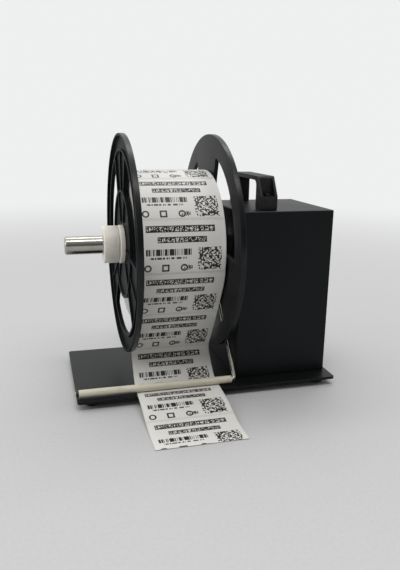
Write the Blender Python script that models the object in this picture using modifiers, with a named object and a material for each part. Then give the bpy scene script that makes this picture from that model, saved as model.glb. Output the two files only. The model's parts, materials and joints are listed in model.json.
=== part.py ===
"""Label rewinder: a motor box on a steel plate turns a reel, and a dancer arm rides on the labels.

Lengths are in metres. Pieces are placed in the box's own frame: x runs from the box's reel side to the
right, y from the spindle's axis to the back, z up from the table. One empty carries them all and centres
the rewinder over the middle of its bounding box.
"""

import math

import bmesh
import bpy
from mathutils import Euler, Matrix, Vector

# Clearances that many pieces share
GAP = 0.0003
OVERRUN = 0.002
MERGE = 0.00001

# Base plate and its feet
PLATE_LENGTH = 0.288
PLATE_DEPTH = 0.149
PLATE_THICK = 0.003
PLATE_CORNER = 0.003
PLATE_AHEAD = 0.0864
PLATE_BEYOND_BOX = 0.0042
FOOT_HEIGHT = 0.0067
FOOT_TOP_RADIUS = 0.009
FOOT_BOTTOM_RADIUS = 0.0078
FOOT_EDGE = 0.0012
FOOT_INSET = 0.016

# Box: folded sheet open at its right end and below
BOX_LENGTH = 0.1076
BOX_DEPTH = 0.116
BOX_ABOVE_AXIS = 0.0414
BOX_AHEAD = 0.0647
SHEET = 0.0015
FOLD_RADIUS = 0.0016
LIP = 0.012
BOX_SCREW_INSET = 0.026
SCREW_HOLE_RADIUS = 0.0022

# Control panel at the right end
PANEL_SCREW_INSET = 0.024
KNOB_HEIGHT = 0.148
SWITCH_HEIGHT = 0.116
SWITCH_SPREAD = 0.021
INLET_HEIGHT = 0.034
INLET_ASIDE = 0.024

# Machine screws
SHANK_RADIUS = 0.0019
SHANK_LENGTH = 0.0075
HEAD_RADIUS = 0.0036
HEAD_HEIGHT = 0.0022
HEAD_EDGE = 0.0008
DRIVE_RADIUS = 0.0011
DRIVE_DEPTH = 0.0012

# Reel: spindle axis, flanges and what they hold
AXIS_ABOVE_PLATE = 0.1453
BOX_TO_FLANGE = 0.0117
LABEL_SPACE = 0.0945
FLANGE_RADIUS = 0.120
FLANGE_THICK = 0.006
DISC_THICK = 0.002
RIM_WIDTH = 0.0028
RIM_EDGE = 0.0006
RING_OUTER_RADIUS = 0.1035
RIB_WIDTH = 0.0022
RIB_HEIGHT = 0.0044
HUB_RING_RADIUS = 0.0595
OPENING_INNER_RADIUS = 0.0605
OPENING_OUTER_RADIUS = 0.100
OPENING_HALF_ANGLE = math.radians(38)
OPENING_CORNER = 0.003
OPENING_COUNT = 3
RIB_START_RADIUS = 0.026
OUTER_FLANGE_TURN = math.radians(3.75)
INNER_FLANGE_TURN = math.radians(5.75)
BOSS_RADIUS = 0.014
SPIGOT_LENGTH = 0.012
SPIGOT_WALL = 0.003
SPINDLE_RADIUS = 0.010
SPINDLE_TIP_EDGE = 0.0015
SPINDLE_FREE_LENGTH = 0.0413
JOURNAL_RADIUS = 0.0085

# Nylon lock collar and its set screw
COLLAR_RADIUS = 0.0207
COLLAR_LENGTH = 0.0228
COLLAR_EDGE = 0.0012
COLLAR_FOOT_RADIUS = 0.0212
COLLAR_FOOT_LENGTH = 0.0058
COLLAR_GROOVE = 0.0012
SET_SCREW_RADIUS = 0.003
SET_SCREW_LENGTH = 0.010
SET_SCREW_FROM_END = 0.009
SET_SCREW_SINK = 0.001
SOCKET_RADIUS = 0.0017
SOCKET_DEPTH = 0.003

# Fixed hub behind the inner flange
REEL_HUB_RADIUS = 0.020
REEL_HUB_EDGE = 0.001
REEL_HUB_TO_BOX = 0.001

# Cardboard core, wound labels and their free web
CORE_INNER_RADIUS = 0.0381
CORE_WALL = 0.004
LABEL_WIDTH = 0.090
ROLL_RADIUS = 0.0807
WEB_THICK = 0.0004
WEB_LEAVES_AT = math.radians(210)
WEB_STRAIGHT = 0.0838
WEB_BEND_RADIUS = 0.009
WEB_BEND_TURN = math.radians(83)
WEB_LANDING_RADIUS = 0.040
WEB_DROP_RADIUS = 0.160
WEB_ON_TABLE = 0.014
WEB_SKEW = 0.005
WEB_SKEW_START = 0.040
WEB_SKEW_LENGTH = 0.150
WEB_ARC_STEPS = 7

# Bearings and their seats
BEARING_OUTER_RADIUS = 0.0175
BEARING_WIDTH = 0.010
BEARING_SEAL_INNER = 0.0105
BEARING_SEAL_OUTER = 0.0155
BEARING_SEAL_DEPTH = 0.0005
BEARING_FLANGE_RADIUS = 0.0195
BEARING_FLANGE_THICK = 0.0015
CUP_FLANGE_RADIUS = 0.028
CUP_FLANGE_THICK = 0.004
CUP_WALL = 0.0037
CUP_SHOULDER = 0.003
WALL_BORE_RADIUS = 0.011

# Inner bracket
BRACKET_AT = 0.042
BRACKET_THICK = 0.003
BRACKET_WIDTH = 0.056
BRACKET_FOOT = 0.034
BRACKET_ABOVE_AXIS = 0.025
BRACKET_SCREW_FROM_END = 0.008
BRACKET_SCREW_ASIDE = 0.020
MOTOR_BOSS_HOLE_RADIUS = 0.0075

# Gear motor and belt drive
MOTOR_ABOVE_PLATE = 0.067
MOTOR_SHAFT_RADIUS = 0.004
MOTOR_SHAFT_SEAT = 0.016
GEARBOX_RADIUS = 0.030
GEARBOX_LENGTH = 0.024
GEARBOX_EDGE = 0.001
GEARBOX_BOSS_RADIUS = 0.007
GEARBOX_BOSS_LENGTH = 0.002
CAN_RADIUS = 0.026
CAN_LENGTH = 0.027
CAN_EDGE = 0.0015
CAN_BOSS_RADIUS = 0.008
CAN_BOSS_LENGTH = 0.0025
PULLEY_AT = 0.0225
PULLEY_TO_BRACKET = 0.005
PULLEY_RIM = 0.0015
PULLEY_RIM_HEIGHT = 0.003
SPINDLE_PULLEY_RADIUS = 0.020
MOTOR_PULLEY_RADIUS = 0.010
BELT_THICK = 0.0016
BELT_ARC_STEPS = 20

# Dancer arm, its pivot and its roller
DANCER_AHEAD = 0.008
DANCER_ABOVE_PLATE = 0.085
ARM_RADIUS = 0.0022
ARM_FROM_BOX = 0.0056
ARM_BEND_RADIUS = 0.0036
ARM_BEND_STEPS = 5
ARM_IN_HUB = 0.0058
DANCER_HUB_RADIUS = 0.0075
DANCER_HUB_LENGTH = 0.0078
DANCER_HUB_TO_BOX = 0.0022
DANCER_SHAFT_RADIUS = 0.004
DANCER_SHAFT_BEYOND_HUB = 0.0005
BUSHING_WALL = 0.0025
BUSHING_COLLAR_RADIUS = 0.009
BUSHING_COLLAR_THICK = 0.0012
BUSHING_INSIDE = 0.0045
SENSOR_RADIUS = 0.0095
SENSOR_LENGTH = 0.009
SENSOR_WALL = 0.002
ROLLER_RADIUS = 0.004
ROLLER_BORE_RADIUS = 0.0026
ROLLER_TO_PLATE_END = 0.0023
ROLLER_INSET = 0.0094
CAP_RADIUS = 0.0037
CAP_LENGTH = 0.0025
AXLE_BEYOND_CAP = 0.0005

# Carry handle
HANDLE_AHEAD = 0.055
HANDLE_LENGTH = 0.103
HANDLE_WIDTH = 0.0196
HANDLE_FROM_REEL_SIDE = 0.0252
HANDLE_HEIGHT = 0.0352
HANDLE_BAR = 0.0045
HANDLE_LEG = 0.0145
HANDLE_LEG_LEAN = 0.0125
HANDLE_STEP_HEIGHT = 0.0145
HANDLE_GRIP_CORNER = 0.006
HANDLE_EDGE = 0.001
HANDLE_TOP_CORNER = 0.003
POCKET_WIDTH = 0.0142
POCKET_DEPTH = 0.0115
POCKET_ROOF = 0.0025

# Control board
BOARD_LENGTH = 0.066
BOARD_HEIGHT = 0.052
BOARD_THICK = 0.0016
BOARD_STANDOFF = 0.008
BOARD_ABOVE_PLATE = 0.110
BOARD_FROM_REEL_SIDE = 0.022
STANDOFF_RADIUS = 0.003
STANDOFF_INSET = 0.005
CAPACITOR_RADIUS = 0.005
CAPACITOR_HEIGHT = 0.012
CAPACITOR_EDGE = 0.0006
CAPACITOR_FROM_END = 0.014

# Power inlet
INLET_RADIUS = 0.0054
INLET_FLANGE_RADIUS = 0.0072
INLET_FLANGE_THICK = 0.0022
INLET_INSIDE = 0.012
INLET_BORE_RADIUS = 0.0029
INLET_BORE_DEPTH = 0.009
INLET_PIN_RADIUS = 0.001

# Rocker switches
SWITCH_BODY_LENGTH = 0.019
SWITCH_BODY_WIDTH = 0.0128
SWITCH_BODY_DEPTH = 0.0125
BEZEL_LENGTH = 0.0212
BEZEL_WIDTH = 0.015
BEZEL_THICK = 0.002
ROCKER_RADIUS = 0.0072
ROCKER_WIDTH = 0.0095
ROCKER_PIVOT_SINK = 0.0015
ROCKER_CREST = 0.0024
ROCKER_DIP = 0.0016
ROCKER_GAP = 0.0004
ROCKER_REST_TILT = math.radians(9)

# Speed control
POT_RADIUS = 0.0085
POT_LENGTH = 0.009
POT_BUSH_RADIUS = 0.0045
POT_BUSH_LENGTH = 0.006
KNOB_STEM_RADIUS = 0.003
KNOB_STEM_LENGTH = 0.008
KNOB_RADIUS = 0.0115
KNOB_TOP_RADIUS = 0.0098
KNOB_LENGTH = 0.0135
KNOB_SKIRT = 0.003
KNOB_EDGE = 0.001
KNOB_TO_PANEL = 0.001
KNOB_HOLLOW_MARGIN = 0.0018

# Sides of round pieces
SIDES_REEL = 64
SIDES_LARGE = 36
SIDES_INNER = 24
SIDES_SMALL = 20
SIDES_TINY = 10
ARC_STEPS = 4

# Heights and places that follow from the sizes above
TABLE_TO_PLATE = FOOT_HEIGHT + GAP
PLATE_TOP = TABLE_TO_PLATE + PLATE_THICK
BOX_BOTTOM = PLATE_TOP + GAP
BOX_BACK = BOX_DEPTH - BOX_AHEAD
BOX_MIDDLE = BOX_DEPTH / 2 - BOX_AHEAD
AXIS_Z = PLATE_TOP + AXIS_ABOVE_PLATE
BOX_TOP = AXIS_Z + BOX_ABOVE_AXIS
PLATE_RIGHT = BOX_LENGTH + PLATE_BEYOND_BOX
PLATE_LEFT = PLATE_RIGHT - PLATE_LENGTH
PLATE_FRONT = -PLATE_AHEAD
PLATE_BACK = PLATE_DEPTH - PLATE_AHEAD
PANEL_BACK = BOX_LENGTH - SHEET
LIP_FACE = PANEL_BACK - GAP
INNER_FLANGE_BACK = -BOX_TO_FLANGE
INNER_FLANGE_FACE = INNER_FLANGE_BACK - FLANGE_THICK
OUTER_FLANGE_FACE = INNER_FLANGE_FACE - LABEL_SPACE
COLLAR_RIGHT = OUTER_FLANGE_FACE - DISC_THICK - GAP
COLLAR_LEFT = COLLAR_RIGHT - COLLAR_LENGTH
SPINDLE_TIP = COLLAR_LEFT - SPINDLE_FREE_LENGTH
ROLL_MIDDLE = (INNER_FLANGE_FACE + OUTER_FLANGE_FACE) / 2
SPINDLE_BORE_RADIUS = SPINDLE_RADIUS + GAP
CUP_LEFT = SHEET + GAP
BEARING_LEFT_AT = CUP_LEFT + CUP_SHOULDER + GAP
BRACKET_RIGHT = BRACKET_AT + BRACKET_THICK
BEARING_RIGHT_AT = BRACKET_AT - GAP - BEARING_FLANGE_THICK
MOTOR_Z = PLATE_TOP + MOTOR_ABOVE_PLATE
PULLEY_RIGHT = BRACKET_AT - PULLEY_TO_BRACKET
DANCER_Z = PLATE_TOP + DANCER_ABOVE_PLATE
ROLLER_Y = PLATE_FRONT + ROLLER_INSET
ROLLER_Z = PLATE_TOP + GAP + WEB_THICK + GAP + ROLLER_RADIUS
AXLE_RIGHT = -ARM_FROM_BOX - ARM_BEND_RADIUS
ROLLER_RIGHT = AXLE_RIGHT - GAP
ROLLER_LEFT = PLATE_LEFT + ROLLER_TO_PLATE_END
KNOB_RIGHT = BOX_LENGTH + KNOB_TO_PANEL + KNOB_LENGTH
KNOB_Z = PLATE_TOP + KNOB_HEIGHT
SWITCH_Z = PLATE_TOP + SWITCH_HEIGHT
BOARD_Z = PLATE_TOP + BOARD_ABOVE_PLATE
BOARD_BACK = BOX_BACK - SHEET - GAP - BOARD_STANDOFF - GAP

for old in list(bpy.data.objects):
    bpy.data.objects.remove(old)


def add_collection(name):
    group = bpy.data.collections.new(name)
    bpy.context.scene.collection.children.link(group)
    return group


PARTS = add_collection("label_rewinder")
CUTTERS = add_collection("label_rewinder_cutters")


def add_material(name, colour, roughness, metallic):
    paint = bpy.data.materials.new(name)
    paint.use_nodes = True
    shader = paint.node_tree.nodes["Principled BSDF"]
    shader.inputs["Base Color"].default_value = (*colour, 1)
    shader.inputs["Roughness"].default_value = roughness
    shader.inputs["Metallic"].default_value = metallic
    return paint


POWDER_COAT = add_material("black powder coat", (0.022, 0.023, 0.025), 0.5, 0)
BLACK_PLASTIC = add_material("black moulded plastic", (0.018, 0.018, 0.02), 0.4, 0)
RUBBER = add_material("black rubber", (0.02, 0.02, 0.02), 0.85, 0)
BRIGHT_STEEL = add_material("polished steel", (0.75, 0.75, 0.74), 0.15, 1)
ZINC_STEEL = add_material("zinc plated steel", (0.6, 0.61, 0.62), 0.35, 1)
ALUMINIUM = add_material("machined aluminium", (0.7, 0.7, 0.72), 0.35, 1)
WHITE_NYLON = add_material("white nylon", (0.72, 0.71, 0.67), 0.5, 0)
IVORY_PLASTIC = add_material("ivory plastic", (0.78, 0.76, 0.62), 0.45, 0)
CARDBOARD = add_material("brown cardboard", (0.42, 0.29, 0.17), 0.9, 0)
PAPER = add_material("white label paper", (0.85, 0.85, 0.84), 0.6, 0)
BELT_RUBBER = add_material("belt rubber", (0.03, 0.03, 0.03), 0.7, 0)
BOARD_GREEN = add_material("green circuit board", (0.02, 0.16, 0.07), 0.5, 0)
BRASS = add_material("brass", (0.7, 0.5, 0.2), 0.3, 1)


def add_empty(name, place, parent):
    empty = bpy.data.objects.new(name, None)
    PARTS.objects.link(empty)
    empty.location = place
    empty.parent = parent
    return empty


def add_part(name, mesh, paint, parent, place=(0, 0, 0), turn=(0, 0, 0)):
    """Links a mesh as one named piece at a place under its parent."""
    mesh.materials.clear()
    mesh.materials.append(paint)
    part = bpy.data.objects.new(name, mesh)
    PARTS.objects.link(part)
    part.location = place
    part.rotation_euler = turn
    part.parent = parent
    return part


def add_cutter(name, mesh, parent, place=(0, 0, 0), turn=(0, 0, 0)):
    """Links a mesh as a hidden cutter."""
    cutter = bpy.data.objects.new(name, mesh)
    CUTTERS.objects.link(cutter)
    cutter.location = place
    cutter.rotation_euler = turn
    cutter.parent = parent
    cutter.hide_render = True
    cutter.display_type = "WIRE"
    return cutter


def combine(part, other, operation="DIFFERENCE"):
    modifier = part.modifiers.new(other.name, "BOOLEAN")
    modifier.operation = operation
    modifier.object = other
    modifier.solver = "EXACT"


def shade(part, angle=math.radians(35)):
    part.data.shade_smooth()
    part.data.set_sharp_from_angle(angle=angle)


def mesh_from(shape, name):
    mesh = bpy.data.meshes.new(name)
    shape.to_mesh(mesh)
    shape.free()
    return mesh


def box_mesh(name, low, high, edge=0, chosen=None):
    """A block from its low to its high corner, with some or all of its edges bevelled."""
    low = Vector(low)
    high = Vector(high)
    shape = bmesh.new()
    bmesh.ops.create_cube(shape, size=1)
    size = Matrix.Diagonal((*(high - low), 1))
    bmesh.ops.transform(shape, matrix=Matrix.Translation((low + high) / 2) @ size, verts=shape.verts)
    if edge:
        edges = [e for e in shape.edges if chosen is None or chosen(e)]
        bmesh.ops.bevel(shape, geom=edges, offset=edge, segments=2, profile=0.5, affect="EDGES")
    return mesh_from(shape, name)


def rod_mesh(name, radius, length, sides):
    """A cylinder along +Z from the origin."""
    shape = bmesh.new()
    bmesh.ops.create_cone(
        shape, cap_ends=True, segments=sides, radius1=radius, radius2=radius, depth=length,
        matrix=Matrix.Translation((0, 0, length / 2)),
    )
    return mesh_from(shape, name)


ALONG_X = (0, math.pi / 2, 0)
AGAINST_X = (0, -math.pi / 2, 0)
ALONG_Y = (-math.pi / 2, 0, 0)
UPRIGHT = (0, 0, 0)
PLANE_YZ = (math.pi / 2, 0, math.pi / 2)
PLANE_XZ = (math.pi / 2, 0, 0)


def add_hole(name, part, parent, radius, start, length, turn=ALONG_X, sides=SIDES_SMALL):
    """Cuts a round hole that starts a little before a point and runs a little past its length."""
    direction = Vector((0, 0, 1))
    direction.rotate(Euler(turn))
    place = Vector(start) - direction * OVERRUN
    cutter = add_cutter(name, rod_mesh(name, radius, length + 2 * OVERRUN, sides), parent, place, turn)
    combine(part, cutter)


def turned_mesh(name, profile):
    """The edge loop of a turned piece, from (radius, height) pairs, running down its outer side."""
    count = len(profile)
    area = sum(
        profile[i][0] * profile[(i + 1) % count][1] - profile[(i + 1) % count][0] * profile[i][1]
        for i in range(count)
    )
    if area > 0:
        profile = profile[::-1]
    starts = [i for i in range(count) if profile[i][0] == 0 and profile[(i + 1) % count][0]]
    if starts:
        profile = profile[starts[0]:] + profile[:starts[0]]
    shape = bmesh.new()
    verts = [shape.verts.new((radius, 0, height)) for radius, height in profile]
    pairs = list(zip(verts, verts[1:]))
    if not starts:
        pairs.append((verts[-1], verts[0]))
    for first, second in pairs:
        shape.edges.new((first, second))
    return mesh_from(shape, name)


def add_turned(name, profile, paint, parent, place=(0, 0, 0), turn=ALONG_X, sides=SIDES_SMALL):
    """A turned piece: its profile's heights run along the turned Z axis."""
    part = add_part(name, turned_mesh(name, profile), paint, parent, place, turn)
    screw = part.modifiers.new("turning", "SCREW")
    screw.axis = "Z"
    screw.steps = sides
    screw.render_steps = sides
    screw.use_merge_vertices = True
    screw.merge_threshold = MERGE
    screw.use_smooth_shade = True
    return part


def outline_mesh(name, outlines, depth):
    """A flat outline, or a ring of two, made solid with its depth shared to both sides."""
    curve = bpy.data.curves.new(name, "CURVE")
    curve.dimensions = "2D"
    curve.fill_mode = "BOTH"
    curve.extrude = depth / 2
    for outline in outlines:
        spline = curve.splines.new("POLY")
        spline.points.add(len(outline) - 1)
        for point, (u, v) in zip(spline.points, outline):
            point.co = (u, v, 0, 1)
        spline.use_cyclic_u = True
    guide = bpy.data.objects.new(name, curve)
    bpy.context.scene.collection.objects.link(guide)
    mesh = bpy.data.meshes.new_from_object(guide.evaluated_get(bpy.context.evaluated_depsgraph_get()))
    bpy.data.objects.remove(guide)
    shape = bmesh.new()
    shape.from_mesh(mesh)
    bmesh.ops.remove_doubles(shape, verts=shape.verts, dist=MERGE)
    bmesh.ops.recalc_face_normals(shape, faces=shape.faces)
    return mesh_from(shape, name)


def arc(centre, radius, start, end, steps=ARC_STEPS):
    """Points on an arc from one direction to another."""
    angles = [start + (end - start) * i / steps for i in range(steps + 1)]
    return [(centre[0] + radius * math.cos(a), centre[1] + radius * math.sin(a)) for a in angles]


def rounded(outline, radius, steps=ARC_STEPS):
    """An outline with each of its corners rounded, unless its radius is zero."""
    result = []
    radii = radius if isinstance(radius, list) else [radius] * len(outline)
    for i, corner in enumerate(outline):
        corner = Vector(corner)
        before = (Vector(outline[i - 1]) - corner).normalized()
        after = (Vector(outline[(i + 1) % len(outline)]) - corner).normalized()
        if not radii[i]:
            result.append(tuple(corner))
            continue
        half = before.angle(after) / 2
        centre = corner + (before + after).normalized() * (radii[i] / math.sin(half))
        first = corner + before * (radii[i] / math.tan(half)) - centre
        last = corner + after * (radii[i] / math.tan(half)) - centre
        start = math.atan2(first.y, first.x)
        sweep = (math.atan2(last.y, last.x) - start + math.pi) % (2 * math.pi) - math.pi
        result += arc(centre, radii[i], start, start + sweep, steps)
    return result


def rectangle(low, high):
    return [(low[0], low[1]), (high[0], low[1]), (high[0], high[1]), (low[0], high[1])]


# The whole rewinder is centred over the middle of its bounding box
X_MIDDLE = (min(SPINDLE_TIP, PLATE_LEFT) + max(PLATE_RIGHT, KNOB_RIGHT)) / 2


def web_path():
    """Middle line of the label web, as (y, z): off the roll, round its bend, over the plate, to the table."""
    leave = ROLL_RADIUS + GAP + WEB_THICK / 2
    start = Vector((leave * math.cos(WEB_LEAVES_AT), AXIS_Z + leave * math.sin(WEB_LEAVES_AT)))
    heading = WEB_LEAVES_AT + math.pi / 2
    bend_start = start + Vector((math.cos(heading), math.sin(heading))) * WEB_STRAIGHT
    bend_centre = bend_start + Vector((math.sin(heading), -math.cos(heading))) * WEB_BEND_RADIUS
    bend_from = heading + math.pi / 2
    path = [start, start.lerp(bend_start, 0.5)]
    path += arc(bend_centre, WEB_BEND_RADIUS, bend_from, bend_from - WEB_BEND_TURN, WEB_ARC_STEPS)
    heading -= WEB_BEND_TURN
    slope_start = Vector(path[-1])
    on_plate = PLATE_TOP + GAP + WEB_THICK / 2
    flat = math.pi - heading % (2 * math.pi)
    landing_height = WEB_LANDING_RADIUS * (1 - math.cos(flat))
    slope_fall = slope_start.y - on_plate - landing_height
    slope = slope_fall / -math.sin(heading)
    slope_end = slope_start + Vector((math.cos(heading), math.sin(heading))) * slope
    landing_centre = slope_end + Vector((math.sin(heading), -math.cos(heading))) * WEB_LANDING_RADIUS
    landing_from = heading + math.pi / 2
    path += arc(landing_centre, WEB_LANDING_RADIUS, landing_from, landing_from + flat, WEB_ARC_STEPS)
    on_table = GAP + WEB_THICK / 2
    drop_turn = math.acos(1 - (on_plate - on_table) / (2 * WEB_DROP_RADIUS))
    edge_y = PLATE_FRONT - WEB_THICK
    over_centre = (edge_y, on_plate - WEB_DROP_RADIUS)
    over = arc(over_centre, WEB_DROP_RADIUS, math.pi / 2, math.pi / 2 + drop_turn, WEB_ARC_STEPS)
    reach = 2 * WEB_DROP_RADIUS * math.sin(drop_turn)
    foot_centre = (edge_y - reach, on_table + WEB_DROP_RADIUS)
    under = arc(foot_centre, WEB_DROP_RADIUS, drop_turn - math.pi / 2, -math.pi / 2, WEB_ARC_STEPS)
    path += over + under[1:]
    path.append((edge_y - reach - WEB_ON_TABLE, on_table))
    return [Vector(point) for point in path]


WEB_PATH = web_path()
Y_MIDDLE = (WEB_PATH[-1].x + FLANGE_RADIUS) / 2
ORIGIN = add_empty("rewinder_origin", (-X_MIDDLE, -Y_MIDDLE, 0), None)
SPINDLE_AXIS = add_empty("spindle_axis", (0, 0, AXIS_Z), ORIGIN)
MOTOR_AXIS = add_empty("motor_axis", (0, 0, MOTOR_Z), ORIGIN)
DANCER_AXIS = add_empty("dancer_axis", (0, -DANCER_AHEAD, DANCER_Z), ORIGIN)
ROLLER_AXIS = add_empty("roller_axis", (0, ROLLER_Y + DANCER_AHEAD, ROLLER_Z - DANCER_Z), DANCER_AXIS)
KNOB_AXIS = add_empty("knob_axis", (BOX_LENGTH, BOX_MIDDLE, KNOB_Z), ORIGIN)
ROCKER_X = BOX_LENGTH - ROCKER_PIVOT_SINK
POWER_AXIS = add_empty("power_rocker_axis", (ROCKER_X, BOX_MIDDLE - SWITCH_SPREAD, SWITCH_Z), ORIGIN)
DIRECTION_AXIS = add_empty("direction_rocker_axis", (ROCKER_X, BOX_MIDDLE + SWITCH_SPREAD, SWITCH_Z), ORIGIN)


def screw_profile():
    """A pan-head screw with its head's underside at height zero and a recess in its head."""
    return [
        (0, -SHANK_LENGTH), (SHANK_RADIUS, -SHANK_LENGTH), (SHANK_RADIUS, 0), (HEAD_RADIUS, 0),
        (HEAD_RADIUS, HEAD_HEIGHT - HEAD_EDGE), (HEAD_RADIUS - HEAD_EDGE, HEAD_HEIGHT),
        (DRIVE_RADIUS, HEAD_HEIGHT), (DRIVE_RADIUS, HEAD_HEIGHT - DRIVE_DEPTH),
        (0, HEAD_HEIGHT - DRIVE_DEPTH),
    ]


def add_screw(name, place, turn):
    return add_turned(name, screw_profile(), ZINC_STEEL, ORIGIN, place, turn, SIDES_TINY)


def box_screw_places():
    """Where the box's lower lips are screwed down: two on the front lip, two on the back lip."""
    across = (BOX_SCREW_INSET, BOX_LENGTH - BOX_SCREW_INSET)
    along = (SHEET + LIP / 2 - BOX_AHEAD, BOX_BACK - SHEET - LIP / 2)
    return [(x, y) for y in along for x in across]


def bracket_screw_places():
    x = BRACKET_AT + BRACKET_FOOT - BRACKET_SCREW_FROM_END
    return [(x, side * BRACKET_SCREW_ASIDE) for side in (-1, 1)]


def make_base_plate():
    outline = rounded(rectangle((PLATE_LEFT, PLATE_FRONT), (PLATE_RIGHT, PLATE_BACK)), PLATE_CORNER)
    mesh = outline_mesh("base_plate", [outline], PLATE_THICK)
    plate = add_part("base_plate", mesh, POWDER_COAT, ORIGIN, (0, 0, TABLE_TO_PLATE + PLATE_THICK / 2))
    for number, (x, y) in enumerate(box_screw_places() + bracket_screw_places()):
        start = (x, y, TABLE_TO_PLATE)
        name = f"plate_hole_{number}"
        add_hole(name, plate, ORIGIN, SCREW_HOLE_RADIUS, start, PLATE_THICK, UPRIGHT, SIDES_TINY)
    for number, (x, y) in enumerate(box_screw_places(), 1):
        add_screw(f"housing_screw_{number}", (x, y, TABLE_TO_PLATE - GAP), (math.pi, 0, 0))


def make_feet():
    profile = [
        (0, 0), (FOOT_BOTTOM_RADIUS - FOOT_EDGE, 0), (FOOT_BOTTOM_RADIUS, FOOT_EDGE),
        (FOOT_TOP_RADIUS, FOOT_HEIGHT), (0, FOOT_HEIGHT),
    ]
    for end, y in (("front", PLATE_FRONT + FOOT_INSET), ("back", PLATE_BACK - FOOT_INSET)):
        for side, x in (("left", PLATE_LEFT + FOOT_INSET), ("right", PLATE_RIGHT - FOOT_INSET)):
            add_turned(f"foot_{end}_{side}", profile, RUBBER, ORIGIN, (x, y, 0), UPRIGHT)


def is_fold(edge):
    """Outer edges of the box that are folded: all but those of its open right end and its bottom."""
    ends = [vertex.co for vertex in edge.verts]
    at_right = all(end.x > BOX_LENGTH - OVERRUN for end in ends)
    at_bottom = all(end.z < BOX_BOTTOM + OVERRUN for end in ends)
    return not at_right and not at_bottom


def panel_screw_places():
    """Where the panel is screwed to the box's upright lips, as (y, z)."""
    along = (SHEET + LIP / 2 - BOX_AHEAD, BOX_BACK - SHEET - LIP / 2)
    heights = (BOX_BOTTOM + PANEL_SCREW_INSET, BOX_TOP - PANEL_SCREW_INSET)
    return [(y, z) for y in along for z in heights]


def handle_screw_places():
    x = HANDLE_FROM_REEL_SIDE + HANDLE_WIDTH / 2
    reach = POCKET_DEPTH / 2
    return [("front", x, reach - HANDLE_AHEAD), ("back", x, HANDLE_LENGTH - HANDLE_AHEAD - reach)]


def make_housing():
    low = (0, -BOX_AHEAD, BOX_BOTTOM)
    high = (BOX_LENGTH, BOX_BACK, BOX_TOP)
    outer = box_mesh("housing", low, high, FOLD_RADIUS, is_fold)
    housing = add_part("housing", outer, POWDER_COAT, ORIGIN)
    front = SHEET - BOX_AHEAD
    back = BOX_BACK - SHEET
    top = BOX_TOP - SHEET
    lip_back = LIP_FACE - SHEET
    below = BOX_BOTTOM - OVERRUN
    floor_top = BOX_BOTTOM + SHEET
    cuts = {
        "cavity": ((SHEET, front, floor_top), (lip_back, back, top)),
        "panel_seat": ((LIP_FACE, front, below), (BOX_LENGTH + OVERRUN, back, top)),
        "end_window": ((lip_back - OVERRUN, front + LIP, below), (LIP_FACE + OVERRUN, back - LIP, top)),
        "floor_window": ((SHEET, front + LIP, below), (lip_back, back - LIP, floor_top + OVERRUN)),
    }
    for name, (low, high) in cuts.items():
        combine(housing, add_cutter(name, box_mesh(name, low, high), ORIGIN))
    wall = (0, 0, 0)
    add_hole("spindle_wall_hole", housing, SPINDLE_AXIS, WALL_BORE_RADIUS, wall, SHEET, sides=SIDES_INNER)
    bushing_hole = DANCER_SHAFT_RADIUS + GAP + BUSHING_WALL + GAP
    add_hole("bushing_wall_hole", housing, DANCER_AXIS, bushing_hole, wall, SHEET)
    for number, (x, y) in enumerate(box_screw_places()):
        start = (x, y, BOX_BOTTOM)
        name = f"lip_hole_{number}"
        add_hole(name, housing, ORIGIN, SCREW_HOLE_RADIUS, start, SHEET, UPRIGHT, SIDES_TINY)
    for number, (y, z) in enumerate(panel_screw_places()):
        start = (lip_back, y, z)
        name = f"end_lip_hole_{number}"
        add_hole(name, housing, ORIGIN, SCREW_HOLE_RADIUS, start, SHEET, ALONG_X, SIDES_TINY)
    for end, x, y in handle_screw_places():
        start = (x, y, top)
        name = f"handle_hole_{end}"
        add_hole(name, housing, ORIGIN, SCREW_HOLE_RADIUS, start, SHEET, UPRIGHT, SIDES_TINY)


def make_control_panel():
    low = (PANEL_BACK, SHEET + GAP - BOX_AHEAD, BOX_BOTTOM)
    high = (BOX_LENGTH, BOX_BACK - SHEET - GAP, BOX_TOP - SHEET - GAP)
    panel = add_part("control_panel", box_mesh("control_panel", low, high), POWDER_COAT, ORIGIN)
    for number, (y, z) in enumerate(panel_screw_places(), 1):
        start = (PANEL_BACK, y, z)
        name = f"panel_hole_{number}"
        add_hole(name, panel, ORIGIN, SCREW_HOLE_RADIUS, start, SHEET, ALONG_X, SIDES_TINY)
        add_screw(f"panel_screw_{number}", (BOX_LENGTH + GAP, y, z), ALONG_X)
    start = (PANEL_BACK, BOX_MIDDLE, KNOB_Z)
    add_hole("pot_hole", panel, ORIGIN, POT_BUSH_RADIUS + GAP, start, SHEET)
    start = (PANEL_BACK, BOX_MIDDLE + INLET_ASIDE, PLATE_TOP + INLET_HEIGHT)
    add_hole("inlet_hole", panel, ORIGIN, INLET_RADIUS + GAP, start, SHEET)
    for side in (-1, 1):
        half = (SWITCH_BODY_WIDTH / 2 + GAP, SWITCH_BODY_LENGTH / 2 + GAP)
        middle = BOX_MIDDLE + side * SWITCH_SPREAD
        corner = (PANEL_BACK - OVERRUN, middle - half[0], SWITCH_Z - half[1])
        opposite = (BOX_LENGTH + OVERRUN, middle + half[0], SWITCH_Z + half[1])
        combine(panel, add_cutter(f"switch_cut_{side}", box_mesh("switch_cut", corner, opposite), ORIGIN))


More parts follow.
